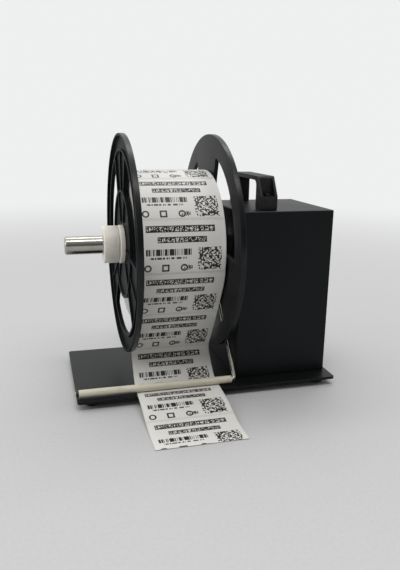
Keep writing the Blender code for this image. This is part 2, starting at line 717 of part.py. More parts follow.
def make_handle():
    """Side outline in y and z, with leaning ends, a finger gap and a screw pocket in each end."""
    front = -HANDLE_AHEAD
    back = HANDLE_LENGTH - HANDLE_AHEAD
    foot = BOX_TOP + GAP
    step = foot + HANDLE_STEP_HEIGHT
    top = foot + HANDLE_HEIGHT
    outline = rounded(
        [
            (front, foot), (back, foot), (back, step), (back - HANDLE_LEG_LEAN, top),
            (front + HANDLE_LEG_LEAN, top), (front, step),
        ],
        [0, 0, HANDLE_EDGE, HANDLE_TOP_CORNER, HANDLE_TOP_CORNER, HANDLE_EDGE],
    )
    grip = rounded(
        rectangle((front + HANDLE_LEG, foot - OVERRUN), (back - HANDLE_LEG, top - HANDLE_BAR)),
        [0, 0, HANDLE_GRIP_CORNER, HANDLE_GRIP_CORNER],
    )
    middle = HANDLE_FROM_REEL_SIDE + HANDLE_WIDTH / 2
    mesh = outline_mesh("carry_handle", [outline], HANDLE_WIDTH)
    handle = add_part("carry_handle", mesh, BLACK_PLASTIC, ORIGIN, (middle, 0, 0), PLANE_YZ)
    gap_mesh = outline_mesh("grip_gap", [grip], HANDLE_WIDTH + 2 * OVERRUN)
    combine(handle, add_cutter("grip_gap", gap_mesh, ORIGIN, (middle, 0, 0), PLANE_YZ))
    pockets = {
        "front": (front - OVERRUN, front + POCKET_DEPTH),
        "back": (back - POCKET_DEPTH, back + OVERRUN),
    }
    for end, (near, far) in pockets.items():
        low = (middle - POCKET_WIDTH / 2, near, step)
        high = (middle + POCKET_WIDTH / 2, far, top - POCKET_ROOF)
        combine(handle, add_cutter(f"pocket_{end}", box_mesh("pocket", low, high), ORIGIN))
    for end, x, y in handle_screw_places():
        start = (x, y, foot)
        name = f"handle_bore_{end}"
        add_hole(name, handle, ORIGIN, SCREW_HOLE_RADIUS, start, HANDLE_STEP_HEIGHT, UPRIGHT, SIDES_TINY)
        shank = HANDLE_STEP_HEIGHT + SHEET + SHANK_LENGTH / 2
        profile = [(r, -shank if h == -SHANK_LENGTH else h) for r, h in screw_profile()]
        place = (x, y, step + GAP)
        add_turned(f"handle_screw_{end}", profile, ZINC_STEEL, ORIGIN, place, UPRIGHT, SIDES_TINY)


def sector(inner, outer, half, corner, turn):
    """Outline of a flange opening: a stretch of a ring with round corners, centred on a direction."""
    outer_tip = half - math.asin(corner / (outer - corner))
    inner_tip = half - math.asin(corner / (inner + corner))
    side = half + math.pi / 2
    outer_centre = ((outer - corner) * math.cos(outer_tip), (outer - corner) * math.sin(outer_tip))
    inner_centre = ((inner + corner) * math.cos(inner_tip), (inner + corner) * math.sin(inner_tip))
    upper = arc((0, 0), outer, 0, outer_tip, ARC_STEPS)[:-1]
    upper += arc(outer_centre, corner, outer_tip, side)
    upper += arc(inner_centre, corner, side, inner_tip + math.pi)
    upper += arc((0, 0), inner, inner_tip, 0, ARC_STEPS)[1:]
    lower = [(u, -v) for u, v in upper[::-1]][1:-1]
    cosine = math.cos(turn)
    sine = math.sin(turn)
    return [(u * cosine - v * sine, u * sine + v * cosine) for u, v in upper + lower]


def flange_profile():
    """Half section of a flange: label side at height zero, ribs upwards, spigot and boss downwards."""
    ring_inner = RING_OUTER_RADIUS - RIB_WIDTH
    hub_outer = HUB_RING_RADIUS
    hub_inner = HUB_RING_RADIUS - RIB_WIDTH
    spigot_outer = CORE_INNER_RADIUS - GAP
    rim_inner = FLANGE_RADIUS - RIM_WIDTH
    return [
        (SPINDLE_BORE_RADIUS, -SPIGOT_LENGTH), (BOSS_RADIUS, -SPIGOT_LENGTH), (BOSS_RADIUS, 0),
        (spigot_outer - SPIGOT_WALL, 0), (spigot_outer - SPIGOT_WALL, -SPIGOT_LENGTH),
        (spigot_outer, -SPIGOT_LENGTH), (spigot_outer, 0), (FLANGE_RADIUS - RIM_EDGE, 0),
        (FLANGE_RADIUS, RIM_EDGE), (FLANGE_RADIUS, FLANGE_THICK - RIM_EDGE),
        (FLANGE_RADIUS - RIM_EDGE, FLANGE_THICK), (rim_inner, FLANGE_THICK), (rim_inner, DISC_THICK),
        (RING_OUTER_RADIUS, DISC_THICK), (RING_OUTER_RADIUS, RIB_HEIGHT), (ring_inner, RIB_HEIGHT),
        (ring_inner, DISC_THICK), (hub_outer, DISC_THICK), (hub_outer, RIB_HEIGHT), (hub_inner, RIB_HEIGHT),
        (hub_inner, DISC_THICK), (SPINDLE_BORE_RADIUS, DISC_THICK),
    ]


def make_flange(name, face_x, turn, rotation):
    """A moulded flange with its openings, each framed by a rib, and ribs along its spokes."""
    part = add_turned(name, flange_profile(), BLACK_PLASTIC, SPINDLE_AXIS, (face_x, 0, 0), turn, SIDES_REEL)
    step = 2 * math.pi / OPENING_COUNT
    middles = [rotation + step * i for i in range(OPENING_COUNT)]
    around = RIB_WIDTH / OPENING_INNER_RADIUS
    frames = [
        sector(
            OPENING_INNER_RADIUS - RIB_WIDTH, OPENING_OUTER_RADIUS + RIB_WIDTH,
            OPENING_HALF_ANGLE + around, OPENING_CORNER + RIB_WIDTH, middle,
        )
        for middle in middles
    ]
    rise = RIB_HEIGHT - DISC_THICK / 2
    frame_mesh = outline_mesh(name + "_frames", frames, rise)
    lift = Matrix.Translation((0, 0, DISC_THICK / 2 + rise / 2))
    frame_mesh.transform(lift)
    combine(part, add_cutter(name + "_frames", frame_mesh, SPINDLE_AXIS, (face_x, 0, 0), turn), "UNION")
    for number, middle in enumerate(middles):
        for side in (-1, 1):
            direction = middle + side * (OPENING_HALF_ANGLE + around / 2)
            low = (RIB_START_RADIUS, -RIB_WIDTH / 2, DISC_THICK / 2)
            high = (OPENING_INNER_RADIUS, RIB_WIDTH / 2, RIB_HEIGHT - RIM_EDGE)
            rib = box_mesh("rib", low, high)
            rib.transform(Matrix.Rotation(direction, 4, "Z"))
            rib_name = f"{name}_rib_{number}_{side}"
            combine(part, add_cutter(rib_name, rib, SPINDLE_AXIS, (face_x, 0, 0), turn), "UNION")
        spoke = middle + step / 2
        low = (HUB_RING_RADIUS - RIB_WIDTH / 2, -RIB_WIDTH / 2, DISC_THICK / 2)
        high = (RING_OUTER_RADIUS - RIB_WIDTH / 2, RIB_WIDTH / 2, RIB_HEIGHT - RIM_EDGE)
        bar = box_mesh("spoke_rib", low, high)
        bar.transform(Matrix.Rotation(spoke, 4, "Z"))
        combine(part, add_cutter(f"{name}_spoke_{number}", bar, SPINDLE_AXIS, (face_x, 0, 0), turn), "UNION")
    openings = [
        sector(OPENING_INNER_RADIUS, OPENING_OUTER_RADIUS, OPENING_HALF_ANGLE, OPENING_CORNER, middle)
        for middle in middles
    ]
    hole_mesh = outline_mesh(name + "_openings", openings, FLANGE_THICK + 2 * OVERRUN)
    hole_mesh.transform(Matrix.Translation((0, 0, FLANGE_THICK / 2)))
    combine(part, add_cutter(name + "_openings", hole_mesh, SPINDLE_AXIS, (face_x, 0, 0), turn))


def make_spindle():
    end = BRACKET_RIGHT + BEARING_WIDTH
    shoulder = CUP_LEFT + CUP_SHOULDER
    profile = [
        (0, SPINDLE_TIP), (SPINDLE_RADIUS - SPINDLE_TIP_EDGE, SPINDLE_TIP),
        (SPINDLE_RADIUS, SPINDLE_TIP + SPINDLE_TIP_EDGE), (SPINDLE_RADIUS, shoulder),
        (JOURNAL_RADIUS, shoulder), (JOURNAL_RADIUS, end), (0, end),
    ]
    add_turned("spindle", profile, BRIGHT_STEEL, SPINDLE_AXIS, sides=SIDES_LARGE)


def make_reel_hub():
    left = INNER_FLANGE_FACE + DISC_THICK + GAP
    right = -REEL_HUB_TO_BOX
    profile = [
        (SPINDLE_BORE_RADIUS, left), (REEL_HUB_RADIUS - REEL_HUB_EDGE, left),
        (REEL_HUB_RADIUS, left + REEL_HUB_EDGE), (REEL_HUB_RADIUS, right - REEL_HUB_EDGE),
        (REEL_HUB_RADIUS - REEL_HUB_EDGE, right), (SPINDLE_BORE_RADIUS, right),
    ]
    add_turned("reel_hub", profile, ALUMINIUM, SPINDLE_AXIS, sides=SIDES_LARGE)


def make_lock_collar():
    """Nylon collar with a wider foot against the flange, and a set screw in a hole through its wall."""
    foot = COLLAR_RIGHT - COLLAR_FOOT_LENGTH
    waist = COLLAR_RADIUS - COLLAR_GROOVE
    profile = [
        (SPINDLE_BORE_RADIUS, COLLAR_LEFT), (COLLAR_RADIUS - COLLAR_EDGE, COLLAR_LEFT),
        (COLLAR_RADIUS, COLLAR_LEFT + COLLAR_EDGE), (COLLAR_RADIUS, foot - COLLAR_GROOVE), (waist, foot),
        (COLLAR_FOOT_RADIUS, foot + COLLAR_GROOVE), (COLLAR_FOOT_RADIUS, COLLAR_RIGHT - COLLAR_EDGE),
        (COLLAR_FOOT_RADIUS - COLLAR_EDGE, COLLAR_RIGHT), (SPINDLE_BORE_RADIUS, COLLAR_RIGHT),
    ]
    collar = add_turned("lock_collar", profile, WHITE_NYLON, SPINDLE_AXIS, sides=SIDES_LARGE)
    x = COLLAR_LEFT + SET_SCREW_FROM_END
    start = (x, SPINDLE_RADIUS, 0)
    wall = COLLAR_RADIUS - SPINDLE_RADIUS
    add_hole("set_screw_hole", collar, SPINDLE_AXIS, SET_SCREW_RADIUS + GAP, start, wall, ALONG_Y)
    outer = COLLAR_RADIUS - SET_SCREW_SINK
    inner = max(outer - SET_SCREW_LENGTH, SPINDLE_BORE_RADIUS)
    profile = [
        (0, inner), (SET_SCREW_RADIUS, inner), (SET_SCREW_RADIUS, outer), (SOCKET_RADIUS, outer),
        (SOCKET_RADIUS, outer - SOCKET_DEPTH), (0, outer - SOCKET_DEPTH),
    ]
    add_turned("collar_screw", profile, ZINC_STEEL, SPINDLE_AXIS, (x, 0, 0), ALONG_Y, SIDES_TINY)


def add_tube(name, inner, outer, start, end, paint, parent, sides):
    profile = [(inner, start), (outer, start), (outer, end), (inner, end)]
    return add_turned(name, profile, paint, parent, sides=sides)


def make_label_roll():
    left = ROLL_MIDDLE - LABEL_WIDTH / 2
    right = ROLL_MIDDLE + LABEL_WIDTH / 2
    core_outer = CORE_INNER_RADIUS + CORE_WALL
    add_tube("roll_core", CORE_INNER_RADIUS, core_outer, left, right, CARDBOARD, SPINDLE_AXIS, SIDES_REEL)
    add_tube("label_roll", core_outer + GAP, ROLL_RADIUS, left, right, PAPER, SPINDLE_AXIS, SIDES_REEL)


def make_label_web():
    """A strip of paper along the web's path, drifting sideways as it comes forward."""
    points = WEB_PATH
    travelled = [0]
    for before, after in zip(points, points[1:]):
        travelled.append(travelled[-1] + (after - before).length)
    shape = bmesh.new()
    bmesh.ops.create_grid(shape, x_segments=1, y_segments=len(points) - 1, size=1)
    rows = sorted(shape.verts, key=lambda vertex: (round(vertex.co.y, 6), vertex.co.x))
    for number, vertex in enumerate(rows):
        index = number // 2
        side = 1 if number % 2 else -1
        share = min(max((travelled[index] - WEB_SKEW_START) / WEB_SKEW_LENGTH, 0), 1)
        drift = WEB_SKEW * share * share * (3 - 2 * share)
        vertex.co = (ROLL_MIDDLE + side * LABEL_WIDTH / 2 - drift, points[index].x, points[index].y)
    web = add_part("label_web", mesh_from(shape, "label_web"), PAPER, ORIGIN)
    solidify = web.modifiers.new("paper", "SOLIDIFY")
    solidify.thickness = WEB_THICK
    solidify.offset = 0


def make_bearings():
    inner = JOURNAL_RADIUS + GAP
    outer = BEARING_OUTER_RADIUS
    deep = BEARING_SEAL_DEPTH
    places = (("bearing_left", BEARING_LEFT_AT, False), ("bearing_right", BEARING_RIGHT_AT, True))
    for name, start, flange in places:
        end = start + BEARING_WIDTH
        profile = [(inner, start), (BEARING_SEAL_INNER, start), (BEARING_SEAL_INNER, start + deep)]
        profile += [(BEARING_SEAL_OUTER, start + deep), (BEARING_SEAL_OUTER, start)]
        if flange:
            collar = start + BEARING_FLANGE_THICK
            profile += [(BEARING_FLANGE_RADIUS, start), (BEARING_FLANGE_RADIUS, collar), (outer, collar)]
        else:
            profile.append((outer, start))
        profile += [(outer, end), (BEARING_SEAL_OUTER, end), (BEARING_SEAL_OUTER, end - deep)]
        profile += [(BEARING_SEAL_INNER, end - deep), (BEARING_SEAL_INNER, end), (inner, end)]
        add_turned(name, profile, BRIGHT_STEEL, SPINDLE_AXIS, sides=SIDES_INNER)
    seat = BEARING_OUTER_RADIUS + GAP
    cup = seat + CUP_WALL
    shoulder = CUP_LEFT + CUP_SHOULDER
    cup_end = BEARING_LEFT_AT + BEARING_WIDTH
    profile = [
        (WALL_BORE_RADIUS, CUP_LEFT), (CUP_FLANGE_RADIUS, CUP_LEFT),
        (CUP_FLANGE_RADIUS, CUP_LEFT + CUP_FLANGE_THICK), (cup, CUP_LEFT + CUP_FLANGE_THICK),
        (cup, cup_end), (seat, cup_end), (seat, shoulder),
        (WALL_BORE_RADIUS, shoulder),
    ]
    add_turned("bearing_housing", profile, ALUMINIUM, SPINDLE_AXIS, sides=SIDES_INNER)


def make_bracket():
    foot_top = PLATE_TOP + GAP + BRACKET_THICK
    foot_end = BRACKET_AT + BRACKET_FOOT
    top = AXIS_Z + BRACKET_ABOVE_AXIS
    outline = [
        (BRACKET_AT, PLATE_TOP + GAP), (foot_end, PLATE_TOP + GAP), (foot_end, foot_top),
        (BRACKET_RIGHT, foot_top), (BRACKET_RIGHT, top), (BRACKET_AT, top),
    ]
    mesh = outline_mesh("drive_bracket", [outline], BRACKET_WIDTH)
    bracket = add_part("drive_bracket", mesh, ZINC_STEEL, ORIGIN, (0, 0, 0), PLANE_XZ)
    seat = BEARING_OUTER_RADIUS + GAP
    wall = (BRACKET_AT, 0, 0)
    add_hole("bearing_seat", bracket, SPINDLE_AXIS, seat, wall, BRACKET_THICK, sides=SIDES_INNER)
    add_hole("motor_hole", bracket, MOTOR_AXIS, MOTOR_BOSS_HOLE_RADIUS, wall, BRACKET_THICK)
    for (x, y), end in zip(bracket_screw_places(), ("front", "back")):
        start = (x, y, PLATE_TOP + GAP)
        name = f"bracket_hole_{end}"
        add_hole(name, bracket, ORIGIN, SCREW_HOLE_RADIUS, start, BRACKET_THICK, UPRIGHT, SIDES_TINY)
        add_screw(f"bracket_screw_{end}", (x, y, foot_top + GAP), UPRIGHT)


def make_motor():
    face = BRACKET_RIGHT + GAP
    bore = MOTOR_SHAFT_RADIUS + GAP
    end = face + GEARBOX_LENGTH
    profile = [
        (bore, face - GEARBOX_BOSS_LENGTH), (GEARBOX_BOSS_RADIUS, face - GEARBOX_BOSS_LENGTH),
        (GEARBOX_BOSS_RADIUS, face), (GEARBOX_RADIUS - GEARBOX_EDGE, face),
        (GEARBOX_RADIUS, face + GEARBOX_EDGE), (GEARBOX_RADIUS, end - GEARBOX_EDGE),
        (GEARBOX_RADIUS - GEARBOX_EDGE, end), (0, end),
        (0, face + MOTOR_SHAFT_SEAT + GAP), (bore, face + MOTOR_SHAFT_SEAT + GAP),
    ]
    add_turned("gearbox", profile, ZINC_STEEL, MOTOR_AXIS, sides=SIDES_INNER)
    left = PULLEY_AT - PULLEY_RIM
    right = face + MOTOR_SHAFT_SEAT
    profile = [(0, left), (MOTOR_SHAFT_RADIUS, left), (MOTOR_SHAFT_RADIUS, right), (0, right)]
    add_turned("motor_shaft", profile, BRIGHT_STEEL, MOTOR_AXIS)
    start = end + GAP
    finish = start + CAN_LENGTH
    profile = [
        (0, start), (CAN_RADIUS, start), (CAN_RADIUS, finish - CAN_EDGE), (CAN_RADIUS - CAN_EDGE, finish),
        (CAN_BOSS_RADIUS, finish), (CAN_BOSS_RADIUS, finish + CAN_BOSS_LENGTH), (0, finish + CAN_BOSS_LENGTH),
    ]
    add_turned("motor_can", profile, BLACK_PLASTIC, MOTOR_AXIS, sides=SIDES_INNER)


def pulley_profile(groove, bore):
    """A flat-belt pulley between two rims."""
    rim = groove + PULLEY_RIM_HEIGHT
    return [
        (bore, PULLEY_AT), (rim, PULLEY_AT), (rim, PULLEY_AT + PULLEY_RIM), (groove, PULLEY_AT + PULLEY_RIM),
        (groove, PULLEY_RIGHT - PULLEY_RIM), (rim, PULLEY_RIGHT - PULLEY_RIM), (rim, PULLEY_RIGHT),
        (bore, PULLEY_RIGHT),
    ]


def belt_outline(offset):
    """A loop round both pulleys, a distance out from their grooves."""
    upper = SPINDLE_PULLEY_RADIUS + offset
    lower = MOTOR_PULLEY_RADIUS + offset
    lean = math.asin((SPINDLE_PULLEY_RADIUS - MOTOR_PULLEY_RADIUS) / (AXIS_Z - MOTOR_Z))
    over = arc((0, AXIS_Z), upper, -lean, math.pi + lean, BELT_ARC_STEPS)
    under = arc((0, MOTOR_Z), lower, math.pi + lean, 2 * math.pi - lean, BELT_ARC_STEPS)
    return over + under


def make_belt_drive():
    profile = pulley_profile(SPINDLE_PULLEY_RADIUS, JOURNAL_RADIUS + GAP)
    add_turned("spindle_pulley", profile, ALUMINIUM, SPINDLE_AXIS, sides=SIDES_INNER)
    profile = pulley_profile(MOTOR_PULLEY_RADIUS, MOTOR_SHAFT_RADIUS + GAP)
    add_turned("motor_pulley", profile, ALUMINIUM, MOTOR_AXIS, sides=SIDES_INNER)
    width = PULLEY_RIGHT - PULLEY_AT - 2 * (PULLEY_RIM + GAP)
    mesh = outline_mesh("drive_belt", [belt_outline(GAP + BELT_THICK), belt_outline(GAP)], width)
    add_part("drive_belt", mesh, BELT_RUBBER, ORIGIN, ((PULLEY_AT + PULLEY_RIGHT) / 2, 0, 0), PLANE_YZ)


def make_dancer():
    """A rod from the pivot's hub down to the web, bent into the axle of a roller that lies on it."""
    hub_right = -DANCER_HUB_TO_BOX
    hub_left = hub_right - DANCER_HUB_LENGTH
    shaft_bore = DANCER_SHAFT_RADIUS + GAP
    profile = [
        (shaft_bore, hub_left), (DANCER_HUB_RADIUS, hub_left), (DANCER_HUB_RADIUS, hub_right),
        (shaft_bore, hub_right),
    ]
    hub = add_turned("dancer_hub", profile, ZINC_STEEL, DANCER_AXIS, sides=SIDES_SMALL)
    away = Vector((0, ROLLER_Y + DANCER_AHEAD, ROLLER_Z - DANCER_Z))
    reach = away.length
    away.normalize()
    arm_x = -ARM_FROM_BOX
    tilt = math.atan2(-away.y, away.z)
    hole = rod_mesh("arm_hole", ARM_RADIUS + GAP, DANCER_HUB_RADIUS, SIDES_SMALL)
    start = Vector((arm_x, 0, 0)) + away * (ARM_IN_HUB - GAP)
    combine(hub, add_cutter("arm_hole", hole, DANCER_AXIS, start, (tilt, 0, 0)))
    bend = ARM_BEND_RADIUS
    centre = Vector((arm_x - bend, 0, 0)) + away * (reach - bend)
    route = [Vector((arm_x, 0, 0)) + away * ARM_IN_HUB]
    for i in range(ARM_BEND_STEPS + 1):
        angle = math.pi / 2 * i / ARM_BEND_STEPS
        route.append(centre + Vector((bend * math.cos(angle), 0, 0)) + away * (bend * math.sin(angle)))
    tip = ROLLER_LEFT - GAP - CAP_LENGTH - AXLE_BEYOND_CAP
    route.append(Vector((tip, 0, 0)) + away * reach)
    curve = bpy.data.curves.new("dancer_arm", "CURVE")
    curve.dimensions = "3D"
    curve.bevel_depth = ARM_RADIUS
    curve.bevel_resolution = 3
    curve.use_fill_caps = True
    spline = curve.splines.new("POLY")
    spline.points.add(len(route) - 1)
    for point, place in zip(spline.points, route):
        point.co = (*place, 1)
    curve.materials.append(ZINC_STEEL)
    arm = bpy.data.objects.new("dancer_arm", curve)
    PARTS.objects.link(arm)
    arm.parent = DANCER_AXIS
    add_tube(
        "dancer_roller", ROLLER_BORE_RADIUS, ROLLER_RADIUS, ROLLER_LEFT, ROLLER_RIGHT,
        IVORY_PLASTIC, ROLLER_AXIS, SIDES_SMALL,
    )
    cap_right = ROLLER_LEFT - GAP
    add_tube(
        "roller_cap", ARM_RADIUS + GAP, CAP_RADIUS, cap_right - CAP_LENGTH, cap_right,
        BLACK_PLASTIC, ROLLER_AXIS, SIDES_SMALL,
    )
    sensor_right = SHEET + BUSHING_INSIDE + GAP + SENSOR_LENGTH
    shaft_end = sensor_right - SENSOR_WALL - GAP
    profile = [
        (0, hub_left - DANCER_SHAFT_BEYOND_HUB), (DANCER_SHAFT_RADIUS, hub_left - DANCER_SHAFT_BEYOND_HUB),
        (DANCER_SHAFT_RADIUS, shaft_end), (0, shaft_end),
    ]
    add_turned("dancer_shaft", profile, BRIGHT_STEEL, DANCER_AXIS)
    bushing = shaft_bore + BUSHING_WALL
    collar_left = -GAP - BUSHING_COLLAR_THICK
    profile = [
        (shaft_bore, collar_left), (BUSHING_COLLAR_RADIUS, collar_left), (BUSHING_COLLAR_RADIUS, -GAP),
        (bushing, -GAP), (bushing, SHEET + BUSHING_INSIDE), (shaft_bore, SHEET + BUSHING_INSIDE),
    ]
    add_turned("dancer_bushing", profile, BRASS, DANCER_AXIS)
    sensor_left = SHEET + BUSHING_INSIDE + GAP
    profile = [
        (shaft_bore, sensor_left), (SENSOR_RADIUS, sensor_left), (SENSOR_RADIUS, sensor_right),
        (0, sensor_right), (0, sensor_right - SENSOR_WALL), (shaft_bore, sensor_right - SENSOR_WALL),
    ]
    add_turned("dancer_sensor", profile, BLACK_PLASTIC, DANCER_AXIS)


def make_board():
    left = BOARD_FROM_REEL_SIDE
    low = (left, BOARD_BACK - BOARD_THICK, BOARD_Z)
    high = (left + BOARD_LENGTH, BOARD_BACK, BOARD_Z + BOARD_HEIGHT)
    add_part("control_board", box_mesh("control_board", low, high), BOARD_GREEN, ORIGIN)
    places = [
        (x, z)
        for z in (BOARD_Z + STANDOFF_INSET, BOARD_Z + BOARD_HEIGHT - STANDOFF_INSET)
        for x in (left + STANDOFF_INSET, left + BOARD_LENGTH - STANDOFF_INSET)
    ]
    for number, (x, z) in enumerate(places, 1):
        mesh = rod_mesh("board_standoff", STANDOFF_RADIUS, BOARD_STANDOFF, SIDES_TINY)
        add_part(f"board_standoff_{number}", mesh, BRASS, ORIGIN, (x, BOARD_BACK + GAP, z), ALONG_Y)
    profile = [
        (0, 0), (CAPACITOR_RADIUS, 0), (CAPACITOR_RADIUS, CAPACITOR_HEIGHT - CAPACITOR_EDGE),
        (CAPACITOR_RADIUS - CAPACITOR_EDGE, CAPACITOR_HEIGHT), (0, CAPACITOR_HEIGHT),
    ]
    right = left + BOARD_LENGTH - CAPACITOR_FROM_END
    place = (right, BOARD_BACK - BOARD_THICK - GAP, BOARD_Z + BOARD_HEIGHT / 2)
    add_turned("capacitor", profile, BLACK_PLASTIC, ORIGIN, place, (math.pi / 2, 0, 0))


def make_inlet():
    face = BOX_LENGTH + GAP
    profile = [
        (0, PANEL_BACK - INLET_INSIDE), (INLET_RADIUS, PANEL_BACK - INLET_INSIDE), (INLET_RADIUS, face),
        (INLET_FLANGE_RADIUS, face), (INLET_FLANGE_RADIUS, face + INLET_FLANGE_THICK),
        (INLET_BORE_RADIUS, face + INLET_FLANGE_THICK), (INLET_BORE_RADIUS, face - INLET_BORE_DEPTH),
        (INLET_PIN_RADIUS, face - INLET_BORE_DEPTH), (INLET_PIN_RADIUS, face), (0, face),
    ]
    place = (0, BOX_MIDDLE + INLET_ASIDE, PLATE_TOP + INLET_HEIGHT)
    add_turned("power_inlet", profile, BLACK_PLASTIC, ORIGIN, place)


def make_switch(name, axis, tilt):
    """A switch frame with a pocket, and a rocker that turns in it about a pivot just under the panel."""
    middle = axis.location
    bezel = (BEZEL_WIDTH / 2, BEZEL_LENGTH / 2)
    bezel_low = (BOX_LENGTH + GAP, middle.y - bezel[0], middle.z - bezel[1])
    bezel_high = (BOX_LENGTH + GAP + BEZEL_THICK, middle.y + bezel[0], middle.z + bezel[1])
    frame = add_part(f"{name}_switch", box_mesh(name, bezel_low, bezel_high), BLACK_PLASTIC, ORIGIN)
    body = (SWITCH_BODY_WIDTH / 2, SWITCH_BODY_LENGTH / 2)
    body_low = (BOX_LENGTH - SWITCH_BODY_DEPTH, middle.y - body[0], middle.z - body[1])
    body_high = (BOX_LENGTH + BEZEL_THICK, middle.y + body[0], middle.z + body[1])
    combine(frame, add_cutter(f"{name}_body", box_mesh("switch_body", body_low, body_high), ORIGIN), "UNION")
    pocket = ROCKER_RADIUS + ROCKER_GAP
    pocket_width = ROCKER_WIDTH + 2 * ROCKER_GAP
    pocket_low = (middle.x - pocket, middle.y - pocket_width / 2, middle.z - pocket)
    pocket_high = (bezel_high[0] + OVERRUN, middle.y + pocket_width / 2, middle.z + pocket)
    combine(frame, add_cutter(f"{name}_pocket", box_mesh("switch_pocket", pocket_low, pocket_high), ORIGIN))
    crest = ROCKER_PIVOT_SINK + GAP + BEZEL_THICK + ROCKER_CREST
    dip = crest - ROCKER_DIP
    end = math.acos(crest / ROCKER_RADIUS)
    outline = arc((0, 0), ROCKER_RADIUS, end, 2 * math.pi - end, 3 * ARC_STEPS)
    outline.append((dip, 0))
    mesh = outline_mesh(f"{name}_rocker", [outline], ROCKER_WIDTH)
    mesh.transform(Matrix.Rotation(math.pi / 2, 4, "X"))
    add_part(f"{name}_rocker", mesh, BLACK_PLASTIC, axis, (0, 0, 0), (0, tilt, 0))


def make_speed_control():
    back = -SHEET - GAP
    bush_end = back + POT_BUSH_LENGTH
    bore = KNOB_STEM_RADIUS + GAP
    profile = [
        (0, back - POT_LENGTH), (POT_RADIUS, back - POT_LENGTH), (POT_RADIUS, back), (POT_BUSH_RADIUS, back),
        (POT_BUSH_RADIUS, bush_end), (bore, bush_end), (bore, bush_end - KNOB_STEM_LENGTH),
        (0, bush_end - KNOB_STEM_LENGTH),
    ]
    add_turned("speed_control", profile, ZINC_STEEL, KNOB_AXIS)
    stem_end = bush_end - KNOB_STEM_LENGTH + GAP
    base = KNOB_TO_PANEL
    ceiling = bush_end + GAP
    top = base + KNOB_LENGTH
    hollow = POT_BUSH_RADIUS + KNOB_HOLLOW_MARGIN
    profile = [
        (0, stem_end), (KNOB_STEM_RADIUS, stem_end), (KNOB_STEM_RADIUS, ceiling), (hollow, ceiling),
        (hollow, base), (KNOB_RADIUS, base), (KNOB_RADIUS, base + KNOB_SKIRT),
        (KNOB_TOP_RADIUS, base + KNOB_SKIRT + KNOB_EDGE), (KNOB_TOP_RADIUS, top - KNOB_EDGE),
        (KNOB_TOP_RADIUS - KNOB_EDGE, top), (0, top),
    ]
    add_turned("speed_knob", profile, BLACK_PLASTIC, KNOB_AXIS, sides=SIDES_INNER)


def build():
    make_base_plate()
    make_feet()
    make_housing()
    make_control_panel()
    make_handle()
    make_spindle()
    make_reel_hub()
    make_flange("inner_flange", INNER_FLANGE_FACE, ALONG_X, -INNER_FLANGE_TURN)
    make_flange("outer_flange", OUTER_FLANGE_FACE, AGAINST_X, math.pi + OUTER_FLANGE_TURN)
    make_lock_collar()
    make_label_roll()
    make_label_web()
    make_bearings()
    make_bracket()
    make_motor()
    make_belt_drive()
    make_dancer()
    make_board()
    make_inlet()
    make_switch("power", POWER_AXIS, ROCKER_REST_TILT)
    make_switch("direction", DIRECTION_AXIS, 0)
    make_speed_control()
    for part in PARTS.objects:
        if part.type == "MESH":
            shade(part)


build()
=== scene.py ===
"""Looks of the label rewinder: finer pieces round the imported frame, their finishes, light and camera."""

import json
import math

import bmesh
import bpy
from mathutils import Matrix, Vector


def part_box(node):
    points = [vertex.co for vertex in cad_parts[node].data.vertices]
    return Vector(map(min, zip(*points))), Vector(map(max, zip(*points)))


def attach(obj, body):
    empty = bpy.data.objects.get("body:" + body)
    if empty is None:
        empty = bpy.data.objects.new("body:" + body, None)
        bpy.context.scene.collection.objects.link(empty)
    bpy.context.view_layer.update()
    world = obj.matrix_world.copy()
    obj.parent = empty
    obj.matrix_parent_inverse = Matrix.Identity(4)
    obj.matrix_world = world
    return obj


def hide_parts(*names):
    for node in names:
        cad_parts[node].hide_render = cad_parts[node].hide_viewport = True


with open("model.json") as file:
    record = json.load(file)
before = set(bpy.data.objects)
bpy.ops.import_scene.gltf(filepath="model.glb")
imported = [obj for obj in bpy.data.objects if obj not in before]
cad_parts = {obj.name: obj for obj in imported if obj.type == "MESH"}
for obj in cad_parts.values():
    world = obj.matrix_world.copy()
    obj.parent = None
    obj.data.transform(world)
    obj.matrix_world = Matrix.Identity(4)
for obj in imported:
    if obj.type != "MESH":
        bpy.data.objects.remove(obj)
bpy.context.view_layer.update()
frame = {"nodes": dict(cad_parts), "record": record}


def middle(node):
    low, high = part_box(node)
    return (low + high) / 2


def axis_of(node):
    """Where a node's axis along X lies."""
    return Vector((0, *middle(node).yz))


# Camera: the photograph's viewpoint, as turns about its own upright, sideways and viewing axes
CAMERA_PLACE = (-0.177456, -0.613993, 0.275601)
CAMERA_YAW = 0.273597
CAMERA_PITCH = -0.252411
CAMERA_ROLL = 0.0152604
CAMERA_LENS = 37.0655
CAMERA_SENSOR = 36

# Places that the frame gives
PLATE_LOW, PLATE_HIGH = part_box("base_plate")
BOX_LOW, BOX_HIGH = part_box("housing")
PANEL_LOW, PANEL_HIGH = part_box("control_panel")
REEL_AXIS = axis_of("spindle")
DANCER_AXIS = axis_of("dancer_shaft")
ROLLER_AXIS = axis_of("dancer_roller")
KNOB_AXIS = axis_of("speed_knob")
ROLL_MIDDLE = middle("label_roll").x
NUMBERS = "1234"
ENDS = ("front", "back")

